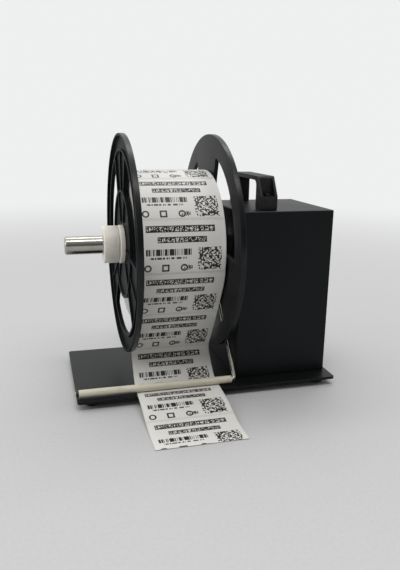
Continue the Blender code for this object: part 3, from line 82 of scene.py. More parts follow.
# Sizes, as the solids have them
GAP = 0.0003
OVERRUN = 0.002
SHEET = 0.0015
FOLD_RADIUS = 0.0016
LIP = 0.012
SCREW_HOLE_RADIUS = 0.0022
SCREW_HEAD_RADIUS = 0.0036
SCREW_HEAD_HEIGHT = 0.0022
SPINDLE_HOLE_RADIUS = 0.011
BUSHING_HOLE_RADIUS = 0.0071
POT_HOLE_RADIUS = 0.0048
INLET_HOLE_RADIUS = 0.0057
PLATE_CORNER = 0.003
FLANGE_RADIUS = 0.120
FLANGE_THICK = 0.006
DISC_THICK = 0.002
RIM_WIDTH = 0.0028
RING_OUTER_RADIUS = 0.1035
RIB_WIDTH = 0.0022
RIB_HEIGHT = 0.0044
HUB_RING_RADIUS = 0.0595
OPENING_INNER_RADIUS = 0.0605
OPENING_OUTER_RADIUS = 0.100
OPENING_HALF_ANGLE = math.radians(38)
OPENING_CORNER = 0.003
INNER_OPENING_FIRST = math.radians(24.25)
OUTER_OPENING_FIRST = math.radians(26.25)
OPENING_COUNT = 3
RIB_START_RADIUS = 0.026
BOSS_RADIUS = 0.014
SPIGOT_LENGTH = 0.012
SPIGOT_WALL = 0.003
SPINDLE_RADIUS = 0.010
SPINDLE_TAIL_RADIUS = 0.0085
BORE_RADIUS = SPINDLE_RADIUS + GAP
REEL_HUB_RADIUS = 0.020
COLLAR_RADIUS = 0.0207
COLLAR_FOOT_RADIUS = 0.0212
COLLAR_FOOT_LENGTH = 0.0058
COLLAR_GROOVE = 0.0012
SET_SCREW_RADIUS = 0.003
SET_SCREW_FROM_END = 0.009
CORE_INNER_RADIUS = 0.0381
CORE_OUTER_RADIUS = CORE_INNER_RADIUS + 0.004
LABEL_WIDTH = 0.090
ROLL_RADIUS = 0.0807
WEB_THICK = 0.0004
WEB_RADIUS = ROLL_RADIUS + GAP + WEB_THICK / 2
WEB_LEAVES_AT = math.radians(210)
WEB_STRAIGHT = 0.0838
WEB_BEND_RADIUS = 0.009
WEB_BEND_TURN = math.radians(83)
WEB_LANDING_RADIUS = 0.040
WEB_DROP_RADIUS = 0.160
WEB_ON_TABLE = 0.014
WEB_SKEW = 0.005
WEB_SKEW_START = 0.040
WEB_SKEW_LENGTH = 0.150
LABEL_PITCH = 0.0556
LABEL_LENGTH = 0.0526
LABEL_FIRST = -0.0232
LABEL_SHIFT = 0.008
LABEL_SHIFT_FROM = 3
LABEL_CORNER = 0.0022
LABEL_INSET = 0.0011
LABEL_THICK = 0.00014
LABELS_ON_ROLL = 9
LABELS_FREE = 5
LINER_THICK = 0.00022
ROD_RADIUS = 0.0022
ROD_BEND = 0.0036
ROD_FROM_BOX = 0.0056
ROD_START = 0.0058
ROD_HOLE_START = 0.0055
ROD_HOLE_DEPTH = 0.0085
PIVOT_RADIUS = 0.004
PIVOT_HUB_RADII = (0.0043, 0.0075)
DIAL_FIRST = 225
DIAL_STEP = 27
SWITCH_HALF = (0.0064, 0.0095)
ROCKER_RADIUS = 0.0072
ROCKER_DISH = 0.0016
MARK_THICK = 0.00012

# Shades, as linear red, green and blue
COAT_COLOUR = (0.0034, 0.0040, 0.0040)
PLASTIC_COLOUR = (0.0100, 0.0112, 0.0108)
PAPER_COLOUR = (0.80, 0.79, 0.76)
LINER_COLOUR = (0.74, 0.73, 0.69)
INK_COLOUR = (0.012, 0.012, 0.013)
NYLON_COLOUR = (0.92, 0.885, 0.80)
IVORY_COLOUR = (0.72, 0.68, 0.55)
STEEL_COLOUR = (0.44, 0.43, 0.39)
ZINC_COLOUR = (0.58, 0.59, 0.60)
ALUMINIUM_COLOUR = (0.68, 0.69, 0.71)
CARDBOARD_COLOUR = (0.40, 0.27, 0.155)
RUBBER_COLOUR = (0.014, 0.014, 0.014)
BOARD_COLOUR = (0.012, 0.13, 0.05)
BRASS_COLOUR = (0.68, 0.48, 0.20)
MOTOR_COLOUR = (0.03, 0.03, 0.033)
MARK_COLOUR = (0.72, 0.72, 0.70)
FLOOR_COLOUR = (0.56, 0.56, 0.565)
BACKDROP = (0.86, 0.865, 0.87)


class Nodes:
    """A node tree that grows by short calls."""

    def __init__(self, tree):
        self.nodes = tree.nodes
        self.links = tree.links

    def fill(self, socket, value):
        """Sets an input to a constant or to another node's output."""
        if isinstance(value, bpy.types.NodeSocket):
            self.links.new(value, socket)
        elif socket.type == "RGBA":
            socket.default_value = (*value, 1)
        else:
            socket.default_value = value

    def new(self, kind, values=(), **settings):
        """A node with its settings, and inputs given in their order or by name."""
        node = self.nodes.new("ShaderNode" + kind)
        for name, setting in settings.items():
            setattr(node, name, setting)
        for key, value in values.items() if isinstance(values, dict) else enumerate(values):
            self.fill(node.inputs[key], value)
        return node

    def math(self, operation, first, second=0.0):
        return self.new("Math", (first, second), operation=operation).outputs[0]

    def times(self, first, second):
        return self.math("MULTIPLY", first, second)

    def distance(self, first, second):
        """The length of two values at right angles."""
        squares = [self.math("POWER", value, 2.0) for value in (first, second)]
        return self.math("SQRT", self.math("ADD", *squares))

    def place(self, source="Object"):
        return self.new("TexCoord").outputs[source]

    def parts(self, source="Object"):
        """The x, y and z of a coordinate."""
        return self.new("SeparateXYZ", [self.place(source)]).outputs

    def stretch(self, scale):
        """Object coordinates, scaled along each axis."""
        return self.new("Mapping", {"Vector": self.place(), "Scale": scale}).outputs[0]

    def noise(self, scale, detail=3.0, roughness=0.5, at=None):
        values = {"Vector": at or self.place(), "Scale": scale, "Detail": detail, "Roughness": roughness}
        return self.new("TexNoise", values).outputs["Fac"]

    def line_noise(self, value, scale, detail=2.0):
        """Noise along one value, for grooves and layers."""
        values = {"W": value, "Scale": scale, "Detail": detail}
        return self.new("TexNoise", values, noise_dimensions="1D").outputs["Fac"]

    def chance(self, first, second, least):
        """One for a fixed random choice of pairs of whole numbers, zero for the others."""
        pair = self.new("CombineXYZ", (first, second)).outputs[0]
        share = self.new("TexWhiteNoise", {"Vector": pair}, noise_dimensions="2D").outputs["Value"]
        return self.math("GREATER_THAN", share, least)

    def ramp(self, value, low, high, start=0.0, end=1.0, kind="LINEAR"):
        return self.new("MapRange", (value, low, high, start, end), interpolation_type=kind).outputs[0]

    def mix(self, share, first, second):
        return self.new("Mix", {0: share, 6: first, 7: second}, data_type="RGBA").outputs[2]

    def edge(self, radius):
        """One at edges sharper than a radius, zero on flat faces."""
        soft = self.new("Bevel", {"Radius": radius}, samples=4).outputs[0]
        flat = self.new("NewGeometry").outputs["Normal"]
        likeness = self.new("VectorMath", (soft, flat), operation="DOT_PRODUCT").outputs["Value"]
        return self.ramp(likeness, 0.99, 0.85)

    def band(self, value, low, high, soft=0.00012):
        """One between two values, with soft ends."""
        rise = self.ramp(value, low - soft, low + soft)
        return self.times(rise, self.ramp(value, high - soft, high + soft, 1.0, 0.0))

    def block(self, across, along, low, high):
        """One inside a rectangle, from its low to its high corner."""
        return self.times(self.band(across, low[0], high[0]), self.band(along, low[1], high[1]))


class Finish(Nodes):
    """A material round one shader."""

    def __init__(self, name, colour, roughness, metallic=0.0):
        self.material = bpy.data.materials.new(name)
        self.material.use_nodes = True
        self.material.diffuse_color = (*colour, 1)
        super().__init__(self.material.node_tree)
        self.shader = self.nodes["Principled BSDF"]
        self.give("Base Color", colour)
        self.give("Roughness", roughness)
        self.give("Metallic", metallic)

    def give(self, socket, value):
        self.fill(self.shader.inputs[socket], value)

    def bump(self, height, distance):
        node = self.new("Bump", {"Strength": 1.0, "Distance": distance, "Height": height})
        self.give("Normal", node.outputs[0])


def shaded(colour, factor, more=0.0):
    return tuple(factor * part + more for part in colour)


def powder_coat():
    """Fine-textured black powder coat, a little greyer where hands and tools rub its edges."""
    tree = Finish("powder_coat_black", COAT_COLOUR, 0.45)
    grain = tree.noise(1500, 2.0, 0.6)
    worn = tree.times(tree.edge(0.0006), tree.ramp(tree.noise(140, 4.0), 0.45, 0.75))
    shade = tree.mix(tree.ramp(tree.noise(22), 0.3, 0.7), COAT_COLOUR, (0.0052, 0.0060, 0.0062))
    tree.give("Base Color", tree.mix(worn, shade, (0.03, 0.032, 0.034)))
    tree.give("Roughness", tree.ramp(grain, 0.3, 0.7, 0.36, 0.48))
    tree.give("IOR", 1.31)
    tree.give("Specular Tint", (0.87, 0.95, 1.0))
    tree.bump(grain, 0.00006)
    return tree.material


def moulded(name="moulded_plastic_black", colour=PLASTIC_COLOUR, roughness=0.42, grain_size=2200, ior=1.25):
    """Black injection moulding with a fine spark-eroded grain and faint scuffs."""
    tree = Finish(name, colour, roughness)
    grain = tree.noise(grain_size, 2.0, 0.7)
    scuff = tree.ramp(tree.noise(90, 5.0, 0.65, tree.stretch((1, 0.35, 1))), 0.56, 0.74)
    tree.give("Base Color", tree.mix(scuff, colour, shaded(colour, 1.9, 0.002)))
    tree.give("Roughness", tree.ramp(grain, 0.3, 0.7, roughness - 0.05, roughness + 0.09))
    tree.give("IOR", ior)
    tree.bump(grain, 0.00004)
    return tree.material


def flange_plastic(name, colour, ior):
    """The flanges' moulding: grained faces, rib edges paler from rubbed wear and a painted highlight."""
    tree = Finish(name, colour, 0.42)
    grain = tree.noise(2200, 2.0, 0.7)
    scuff = tree.ramp(tree.noise(90, 5.0, 0.65), 0.5, 0.76)
    # Paler rib edges: partly rubbed wear, partly a painted highlight standing in for glints on their
    # chamfers.
    rubbed_and_glinting_edges = tree.times(tree.edge(0.0005), tree.ramp(tree.noise(160), 0.3, 0.7, 0.35, 1.0))
    shade = tree.mix(scuff, colour, shaded(colour, 1.5, 0.0015))
    tree.give("Base Color", tree.mix(rubbed_and_glinting_edges, shade, (0.08, 0.09, 0.095)))
    tree.give("Roughness", tree.ramp(grain, 0.3, 0.7, 0.38, 0.5))
    tree.give("IOR", ior)
    tree.give("Specular Tint", (0.88, 0.96, 1.0))
    tree.bump(grain, 0.00003)
    return tree.material


def rubber():
    tree = Finish("rubber_black", RUBBER_COLOUR, 0.8)
    dust = tree.ramp(tree.noise(160, 5.0, 0.7), 0.5, 0.8)
    tree.give("Base Color", tree.mix(dust, RUBBER_COLOUR, (0.05, 0.048, 0.045)))
    tree.bump(tree.noise(1200), 0.0001)
    return tree.material


def turned_steel(name, colour, roughness, ring=2600):
    """Metal turned about X: fine rings along its length and a few handling marks."""
    tree = Finish(name, colour, roughness, 1.0)
    rings = tree.line_noise(tree.parts()[0], ring, 3.0)
    marks = tree.ramp(tree.noise(70, 5.0, 0.7), 0.45, 0.7)
    tree.give("Roughness", tree.ramp(rings, 0.3, 0.7, roughness * 0.7, roughness * 1.4))
    tree.give("Base Color", tree.mix(marks, colour, shaded(colour, 0.82)))
    tree.bump(rings, 0.000012)
    return tree.material


def plated(name, colour, roughness):
    """Zinc plate or brass: a soft spangle without direction."""
    tree = Finish(name, colour, roughness, 1.0)
    cloud = tree.noise(240, 4.0, 0.6)
    tree.give("Base Color", tree.mix(tree.ramp(cloud, 0.35, 0.7), colour, shaded(colour, 0.74)))
    tree.give("Roughness", tree.ramp(cloud, 0.3, 0.7, roughness - 0.08, roughness + 0.12))
    tree.bump(tree.noise(1800, 2.0), 0.00003)
    return tree.material


def nylon():
    """Machined white nylon: fine tool rings, slightly waxy."""
    tree = Finish("nylon_white", NYLON_COLOUR, 0.42)
    rings = tree.line_noise(tree.parts()[0], 3200, 3.0)
    stain = tree.ramp(tree.noise(60, 4.0), 0.5, 0.8)
    tree.give("Base Color", tree.mix(stain, NYLON_COLOUR, (0.70, 0.67, 0.60)))
    tree.give("Roughness", tree.ramp(rings, 0.3, 0.7, 0.36, 0.5))
    tree.give("Subsurface Weight", 0.12)
    tree.give("Subsurface Radius", (0.004, 0.0035, 0.003))
    tree.bump(rings, 0.00003)
    return tree.material


def ivory():
    """Extruded ivory tube with faint lines along it."""
    tree = Finish("ivory_tube", IVORY_COLOUR, 0.38)
    streak = tree.noise(900, 2.0, 0.5, tree.stretch((0.02, 1, 1)))
    dirt = tree.ramp(tree.noise(45, 5.0, 0.65), 0.5, 0.8)
    tree.give("Base Color", tree.mix(dirt, IVORY_COLOUR, (0.60, 0.54, 0.40)))
    tree.give("Subsurface Weight", 0.1)
    tree.give("Subsurface Radius", (0.003, 0.0025, 0.0018))
    tree.bump(streak, 0.00003)
    return tree.material


def cardboard():
    """Wound cardboard: fibres, and layers on its ends."""
    tree = Finish("cardboard_brown", CARDBOARD_COLOUR, 0.88)
    _, y, z = tree.parts()
    layers = tree.ramp(tree.line_noise(tree.distance(y, z), 5200), 0.45, 0.7, 0.0, 0.45)
    fibre = tree.noise(380, 5.0, 0.7)
    shade = tree.mix(tree.ramp(fibre, 0.3, 0.7), CARDBOARD_COLOUR, (0.30, 0.19, 0.10))
    tree.give("Base Color", tree.mix(layers, shade, (0.17, 0.11, 0.065)))
    tree.bump(fibre, 0.00012)
    return tree.material


def wound_paper():
    """Sides of the roll: thousands of liner and label edges, as fine uneven rings."""
    tree = Finish("label_paper_wound", LINER_COLOUR, 0.75)
    _, y, z = tree.parts()
    radius = tree.distance(y, z)
    fine = tree.line_noise(radius, 5200, 3.0)
    broad = tree.line_noise(radius, 640, 4.0)
    shade = tree.mix(tree.ramp(fine, 0.35, 0.65), LINER_COLOUR, (0.50, 0.485, 0.44))
    tree.give("Base Color", tree.mix(tree.ramp(broad, 0.42, 0.62, 0.0, 0.75), shade, (0.38, 0.37, 0.335)))
    tree.bump(tree.math("ADD", fine, tree.times(broad, 2.0)), 0.00012)
    return tree.material


def liner():
    """Glassine backing: smooth, slightly glossy, a touch yellower than the labels."""
    tree = Finish("label_paper_liner", LINER_COLOUR, 0.42)
    fibre = tree.noise(500, 4.0, 0.6)
    tree.give("Base Color", tree.mix(tree.ramp(fibre, 0.3, 0.75), LINER_COLOUR, (0.66, 0.645, 0.59)))
    tree.bump(fibre, 0.00002)
    return tree.material


def printed_label():
    """A white label with generic marks: bars, stripes, a field of cells and a row of simple shapes."""
    tree = Finish("label_paper_printed", PAPER_COLOUR, 0.55)
    across, along, _ = tree.parts("UV")

    def whole(value, step):
        return tree.math("FLOOR", tree.math("DIVIDE", value, step))

    ink = 0.0
    # Dark bars with pale strokes: two corners, the step between signs and the seed of their strokes
    bars = [
        ((0.0070, 0.0046), (0.0785, 0.0114), 0.0052, 3.0),
        ((0.0184, 0.0160), (0.0694, 0.0220), 0.0046, 7.0),
    ]
    for low, high, step, seed in bars:
        rim = (high[1] - low[1]) / 7
        stroke = tree.chance(whole(across, step / 6), tree.math("ADD", whole(along, rim), seed), 0.64)
        column = tree.math("DIVIDE", tree.math("MODULO", across, step), step)
        spaced = tree.math("LESS_THAN", column, 0.8)
        inside = tree.block(across, along, (low[0] + rim, low[1] + rim), (high[0] - rim, high[1] - rim))
        pale = tree.times(tree.times(stroke, spaced), inside)
        bar = tree.block(across, along, low, high)
        ink = tree.math("MAXIMUM", ink, tree.times(bar, tree.math("SUBTRACT", 1.0, pale)))
    # Random fields: two corners, the cells' numbers across and along, and the share left white
    fields = [
        ((0.0062, 0.0282), (0.0530, 0.0347), whole(across, 0.00055), 11.0, 0.42),
        ((0.0100, 0.0365), (0.0480, 0.0385), whole(across, 0.0008), 5.0, 0.35),
        ((0.0600, 0.0272), (0.0850, 0.0512), whole(across, 0.00125), whole(along, 0.00120), 0.46),
        ((0.0450, 0.0452), (0.0545, 0.0502), whole(across, 0.0009), whole(along, 0.0010), 0.45),
    ]
    for low, high, cell, row, white in fields:
        field = tree.times(tree.chance(cell, row, white), tree.block(across, along, low, high))
        ink = tree.math("MAXIMUM", ink, field)
    # A ring, a square and a ring, by their left and right ends
    shapes_along = 0.0477
    for number, ends in enumerate(((0.0026, 0.0140), (0.0210, 0.0320), (0.0375, 0.0540))):
        out_across = tree.math("ABSOLUTE", tree.math("SUBTRACT", across, sum(ends) / 2))
        out_along = tree.math("ABSOLUTE", tree.math("SUBTRACT", along, shapes_along))
        if number == 1:
            shape = tree.band(tree.math("MAXIMUM", out_across, out_along), 0.0021, 0.0038)
        else:
            shape = tree.band(tree.distance(out_across, out_along), 0.0022, 0.0038)
        ink = tree.math("MAXIMUM", ink, shape)
    fibre = tree.noise(700, 4.0, 0.6)
    paper = tree.mix(tree.ramp(fibre, 0.3, 0.75), PAPER_COLOUR, (0.75, 0.74, 0.70))
    worn_ink = tree.mix(tree.ramp(fibre, 0.55, 0.8, 0.0, 0.3), INK_COLOUR, (0.10, 0.10, 0.10))
    tree.give("Base Color", tree.mix(ink, paper, worn_ink))
    tree.give("Roughness", tree.ramp(ink, 0.0, 1.0, 0.55, 0.4))
    tree.bump(fibre, 0.00002)
    return tree.material


def circuit_board():
    """Solder mask with lighter tracks."""
    tree = Finish("circuit_board_green", BOARD_COLOUR, 0.35)
    height = tree.math("ABSOLUTE", tree.parts()[2])
    lines = tree.math("LESS_THAN", tree.math("MODULO", height, 0.0026), 0.0008)
    areas = tree.math("GREATER_THAN", tree.noise(70, 1.0, 0.5, tree.stretch((0.4, 1, 1))), 0.5)
    tracks = tree.times(lines, areas)
    tree.give("Base Color", tree.mix(tracks, BOARD_COLOUR, (0.03, 0.24, 0.09)))
    tree.bump(tracks, 0.00004)
    return tree.material


def white_mark():
    tree = Finish("printed_white", MARK_COLOUR, 0.6)
    faded = tree.ramp(tree.noise(900, 4.0, 0.7), 0.5, 0.8)
    tree.give("Base Color", tree.mix(faded, MARK_COLOUR, (0.5, 0.5, 0.49)))
    return tree.material


COAT = powder_coat()
PLASTIC = moulded()
HANDLE_PLASTIC = moulded("moulded_plastic_handle", (0.0095, 0.0098, 0.0105), 0.5, 1300, 1.38)
INNER_FLANGE_PLASTIC = flange_plastic("moulded_plastic_inner_flange", (0.0068, 0.0082, 0.0076), 1.24)
# Both flanges are one moulding; the outer flange's copy is darker and bluer, painted shade on its outer face.
OUTER_FLANGE_PLASTIC_SHADED = flange_plastic("moulded_plastic_outer_flange_shaded", (0.0058, 0.0070, 0.0076), 1.09)
RIM_PLASTIC = moulded("moulded_plastic_rim", (0.0050, 0.0066, 0.0076), 0.27, 2600, 1.35)
GLOSS_PLASTIC = moulded("moulded_plastic_gloss", (0.008, 0.008, 0.0085), 0.28, 3000, 1.45)
RUBBER = rubber()
STEEL = turned_steel("polished_steel_turned", STEEL_COLOUR, 0.16)
ALUMINIUM = turned_steel("aluminium_turned", ALUMINIUM_COLOUR, 0.34, 1800)
ZINC = plated("zinc_plated_steel", ZINC_COLOUR, 0.3)
# Zinc darkened almost to black: painted shade for the handle's screws, deep in their pockets.
ZINC_SHADED = plated("zinc_steel_shaded", (0.035, 0.036, 0.038), 0.4)
LINER = liner()
PRINTED_LABEL = printed_label()
MARK = white_mark()

PAINTS = {
    "powder_coat": COAT,
    "black_plastic": PLASTIC,
    "foot_rubber": RUBBER,
    "polished_steel": STEEL,
    "zinc_steel": ZINC,
    "motor_paint": moulded("motor_paint_dark", MOTOR_COLOUR, 0.4, 1500),
    "aluminium": ALUMINIUM,
    "white_nylon": nylon(),
    "ivory_plastic": ivory(),
    "cardboard": cardboard(),
    "label_paper": LINER,
    "belt_rubber": moulded("belt_rubber_dark", (0.017, 0.017, 0.017), 0.68, 900),
    "circuit_board": circuit_board(),
    "brass": plated("brass_plain", BRASS_COLOUR, 0.3),
}


def mesh_from(shape, name):
    bmesh.ops.recalc_face_normals(shape, faces=shape.faces)
    mesh = bpy.data.meshes.new(name)
    shape.to_mesh(mesh)
    shape.free()
    return mesh


def new_object(name, data):
    item = bpy.data.objects.new(name, data)
    bpy.context.scene.collection.objects.link(item)
    return item


def polar(radius, angle, centre=(0, 0)):
    return centre[0] + radius * math.cos(angle), centre[1] + radius * math.sin(angle)


def arc(centre, radius, start, end, steps):
    return [polar(radius, start + (end - start) * i / steps, centre) for i in range(steps + 1)]


def circle(centre, radius, steps=32):
    return arc(centre, radius, 0, 2 * math.pi, steps)[:-1]


def rounded(outline, radii, steps=6):
    """An outline with its corners rounded, each by its own radius or not at all."""
    result = []
    radii = radii if isinstance(radii, (list, tuple)) else [radii] * len(outline)
    for i, (corner, radius) in enumerate(zip(outline, radii)):
        corner = Vector(corner)
        if not radius:
            result.append(tuple(corner))
            continue
        before = (Vector(outline[i - 1]) - corner).normalized()
        after = (Vector(outline[(i + 1) % len(outline)]) - corner).normalized()
        half = before.angle(after) / 2
        centre = corner + (before + after).normalized() * (radius / math.sin(half))
        first = corner + before * (radius / math.tan(half)) - centre
        last = corner + after * (radius / math.tan(half)) - centre
        start = math.atan2(first.y, first.x)
        sweep = (math.atan2(last.y, last.x) - start + math.pi) % (2 * math.pi) - math.pi
        result += arc(centre, radius, start, start + sweep, steps)
    return result


def rectangle(low, high):
    return [(low[0], low[1]), (high[0], low[1]), (high[0], high[1]), (low[0], high[1])]


def turned(name, profile, sides=128, steps=4):
    """A mesh turned about X, from (radius, x) or (radius, x, rounding) points."""
    roundings = [point[2] if len(point) > 2 else 0 for point in profile]
    points = rounded([point[:2] for point in profile], roundings, steps)
    shape = bmesh.new()
    rings = []
    for radius, along in points:
        around = circle((0, 0), radius, sides) if radius > 0 else [(0, 0)]
        rings.append([shape.verts.new((along, *point)) for point in around])
    pairs = list(zip(rings, rings[1:]))
    if points[0][0] > 0 and points[-1][0] > 0:
        pairs.append((rings[-1], rings[0]))
    for first, second in pairs:
        if len(first) == 1 and len(second) == 1:
            continue
        for i in range(sides):
            j = (i + 1) % sides
            corners = [first[i % len(first)], first[j % len(first)]]
            corners += [second[j % len(second)], second[i % len(second)]]
            shape.faces.new(list(dict.fromkeys(corners)))
    return mesh_from(shape, name)


def tube(inner, outer, low, high, inner_soft=0.0, outer_soft=None):
    """Profile of a tube, with its edges rounded."""
    soft = inner_soft if outer_soft is None else outer_soft
    return [(inner, low, inner_soft), (outer, low, soft), (outer, high, soft), (inner, high, inner_soft)]


def prism(name, outline, low, high, axis="Z"):
    """A flat outline made solid between two heights along an axis. Along X it is read as y and z."""
    order = {"X": (2, 0, 1), "Y": (0, 2, 1), "Z": (0, 1, 2)}[axis]
    shape = bmesh.new()
    ends = []
    for height in (low, high):
        ends.append([shape.verts.new([(*point, height)[i] for i in order]) for point in outline])
        shape.faces.new(ends[-1])
    bottom, top = ends
    for i in range(len(outline)):
        j = (i + 1) % len(outline)
        shape.faces.new((bottom[i], bottom[j], top[j], top[i]))
    return mesh_from(shape, name)


def block(name, low, high):
    return prism(name, rectangle(low, high), low[2], high[2])


def bar(name, centre, half, start, end):
    """A block along X, from its middle and half sizes in y and z."""
    near = (start, centre[0] - half[0], centre[1] - half[1])
    return block(name, near, (end, centre[0] + half[0], centre[1] + half[1]))


def moved(mesh, place=(0, 0, 0), turn=(0, 0, 0)):
    """The same mesh, turned about X, Y and Z and then moved."""
    matrix = Matrix.Translation(place)
    for axis, angle in zip("ZYX", turn[::-1]):
        matrix = matrix @ Matrix.Rotation(angle, 4, axis)
    mesh.transform(matrix)
    return mesh


def combined(mesh, others, operation="DIFFERENCE"):
    """A mesh with others cut from it or joined to it."""
    piece = new_object("combining", mesh)
    extras = [new_object("extra", other) for other in others]
    for extra in extras:
        modifier = piece.modifiers.new("combine", "BOOLEAN")
        modifier.operation = operation
        modifier.solver = "EXACT"
        modifier.object = extra
    graph = bpy.context.evaluated_depsgraph_get()
    result = bpy.data.meshes.new_from_object(piece.evaluated_get(graph))
    for item in [piece, *extras]:
        bpy.data.objects.remove(item)
    result.name = mesh.name
    return result


def declare(piece, body, stands_for=()):
    """Puts a piece in its body and hides the nodes that it stands for."""
    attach(piece, body)
    if stands_for:
        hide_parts(*stands_for)


def add_piece(name, mesh, paint, body, stands_for=(), place=(0, 0, 0)):
    """A piece of the object: its mesh, finish, body, and the nodes that it stands for."""
    piece = new_object(name, mesh)
    piece.location = place
    mesh.materials.clear()
    mesh.materials.append(paint)
    mesh.shade_smooth()
    mesh.set_sharp_from_angle(angle=math.radians(35))
    declare(piece, body, stands_for)
    return piece


def add_turned(name, profile, sides, paint, body, node, place):
    return add_piece(name, turned(name, profile, sides), paint, body, [node], place)


def ease(piece, width, segments=3, angle=38, harden=True):
    """Rounds a piece's sharp edges."""
    bevel = piece.modifiers.new("eased_edges", "BEVEL")
    bevel.width = width
    bevel.segments = segments
    bevel.limit_method = "ANGLE"
    bevel.angle_limit = math.radians(angle)
    bevel.harden_normals = harden


def paint_beyond(piece, radius, paint):
    """Gives the faces further than a radius from the X axis a second finish."""
    piece.data.materials.append(paint)
    for face in piece.data.polygons:
        face.material_index = int(math.hypot(*face.center.yz) > radius)


def nodes_of(kind, ends=NUMBERS):
    return [f"{kind}_{end}" for end in ends]


def drilled(nodes, radius, low, high, axis="Z", steps=32):
    """Cutters for a round hole through a sheet at the middle of each node."""
    cutters = []
    for node in nodes:
        centre = middle(node).yz if axis == "X" else middle(node).xy
        cutters.append(prism("hole", circle(centre, radius, steps), low - OVERRUN, high + OVERRUN, axis))
    return cutters


def make_camera():
    camera = new_object("camera", bpy.data.cameras.new("camera"))
    turn = Matrix.Rotation(-CAMERA_YAW, 4, "Z") @ Matrix.Rotation(math.pi / 2 + CAMERA_PITCH, 4, "X")
    camera.matrix_world = Matrix.Translation(CAMERA_PLACE) @ turn @ Matrix.Rotation(CAMERA_ROLL, 4, "Z")
    camera.data.sensor_width = CAMERA_SENSOR
    camera.data.lens = CAMERA_LENS
    bpy.context.scene.camera = camera


def make_world():
    """Pale surroundings: bright behind, above and at the left, dim where the camera stands."""
    world = bpy.data.worlds.new("surroundings")
    world.use_nodes = True
    bpy.context.scene.world = world
    bpy.context.scene.view_settings.view_transform = "Standard"
    tree = Nodes(world.node_tree)
    x, y, z = tree.parts("Generated")
    back = tree.ramp(y, -0.6, 0.5, 0.12, 0.78, "SMOOTHSTEP")
    left = tree.ramp(x, 0.3, -0.9, 0.0, 0.2, "SMOOTHSTEP")
    above = tree.ramp(z, 0.25, 0.9, 0.0, 0.3, "SMOOTHSTEP")
    lit = tree.nodes["Background"]
    tree.fill(lit.inputs["Color"], (1.0, 0.995, 0.985))
    tree.fill(lit.inputs["Strength"], tree.math("ADD", tree.math("ADD", back, left), above))
    seen = tree.new("Background", {"Color": BACKDROP})
    direct = tree.new("LightPath").outputs["Is Camera Ray"]
    choice = tree.new("MixShader", (direct, lit.outputs[0], seen.outputs[0]))
    tree.fill(tree.nodes["World Output"].inputs["Surface"], choice.outputs[0])


def make_lights():
    lights = [
        ("back_strip", (0.25, 0.70, 1.55), (-0.43, 0, 0), (1.3, 0.28), 5.5),
        ("front_strip", (0.15, -0.52, 1.55), (0.36, 0, 0), (1.3, 0.28), 7.2),
        ("left_fill", (-1.3, -0.1, 0.7), (0, -1.05, 0), (0.8, 0.8), 2.6),
    ]
    for name, place, turn, (length, depth), power in lights:
        light = bpy.data.lights.new(name, "AREA")
        light.shape = "RECTANGLE"
        light.size = length
        light.size_y = depth
        light.energy = power
        lamp = new_object(name, light)
        lamp.location = place
        lamp.rotation_euler = turn


def make_floor():
    """A pale floor that fades into the backdrop far from the object."""
    reach = 5.0
    fade_from = 0.3
    fade_to = 1.9
    floor = new_object("floor", prism("floor", circle((0, 0), reach, 96), -0.01, 0))
    tree = Finish("floor_pale", FLOOR_COLOUR, 0.7)
    x, y, _ = tree.parts()
    grain = tree.ramp(tree.noise(300), 0.3, 0.7)
    tree.give("Base Color", tree.mix(grain, FLOOR_COLOUR, (0.53, 0.53, 0.535)))
    far = tree.new("Emission", {"Color": BACKDROP})
    share = tree.ramp(tree.distance(x, y), fade_from, fade_to, kind="SMOOTHSTEP")
    fade = tree.new("MixShader", (share, tree.shader.outputs[0], far.outputs[0]))
    tree.fill(tree.nodes["Material Output"].inputs["Surface"], fade.outputs[0])
    floor.data.materials.append(tree.material)


def screw_mesh(name, shank):
    """A pan-head screw along +X, its head's underside at zero, with a cross recess."""
    thread = 0.0019
    tip = 0.0016
    height = SCREW_HEAD_HEIGHT
    recess_depth = 0.0012
    recess_half = (0.0021, 0.0004)
    profile = [
        (0, -shank), (tip, -shank), (thread, -shank + 0.0004), (thread, 0), (SCREW_HEAD_RADIUS, 0, 0.0003),
        (SCREW_HEAD_RADIUS, height, 0.0011), (0, height),
    ]
    arms = []
    for angle in (0, math.pi / 2):
        arm = bar("recess", (0, 0), recess_half, height - recess_depth, height + OVERRUN)
        arms.append(moved(arm, turn=(angle, 0, 0)))
    return combined(turned(name, profile, 48), arms)


def make_screws():
    """Each screw stands for a node of the frame, its head towards the side that it is driven from."""
    screws = [
        ("panel_screw", NUMBERS, ZINC, "right", 0.4, 0.4),
        ("housing_screw", NUMBERS, ZINC, "below", 0.5, 0.5),
        # The handle's screws take the darkened zinc, painted shade of the pockets they sit in.
        ("handle_screw", ENDS, ZINC_SHADED, "above", 0.3, 0.6),
        ("bracket_screw", ENDS, ZINC, "above", 0.3, 0.6),
    ]
    for kind, ends, paint, side, first_angle, angle_step in screws:
        for number, end in enumerate(ends):
            node = f"{kind}_{end}"
            low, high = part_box(node)
            place = (low + high) / 2
            angle = first_angle + angle_step * number
            if side == "right":
                length = high.x - low.x
                turn = (angle, 0, 0)
                place.x = high.x - SCREW_HEAD_HEIGHT
            else:
                length = high.z - low.z
                turn = (0, math.pi / 2 if side == "below" else -math.pi / 2, angle)
                place.z = low.z + SCREW_HEAD_HEIGHT if side == "below" else high.z - SCREW_HEAD_HEIGHT
            mesh = moved(screw_mesh(kind, length - SCREW_HEAD_HEIGHT), turn=turn)
            add_piece(f"{kind}_head_{end}", mesh, paint, "base", [node], place)


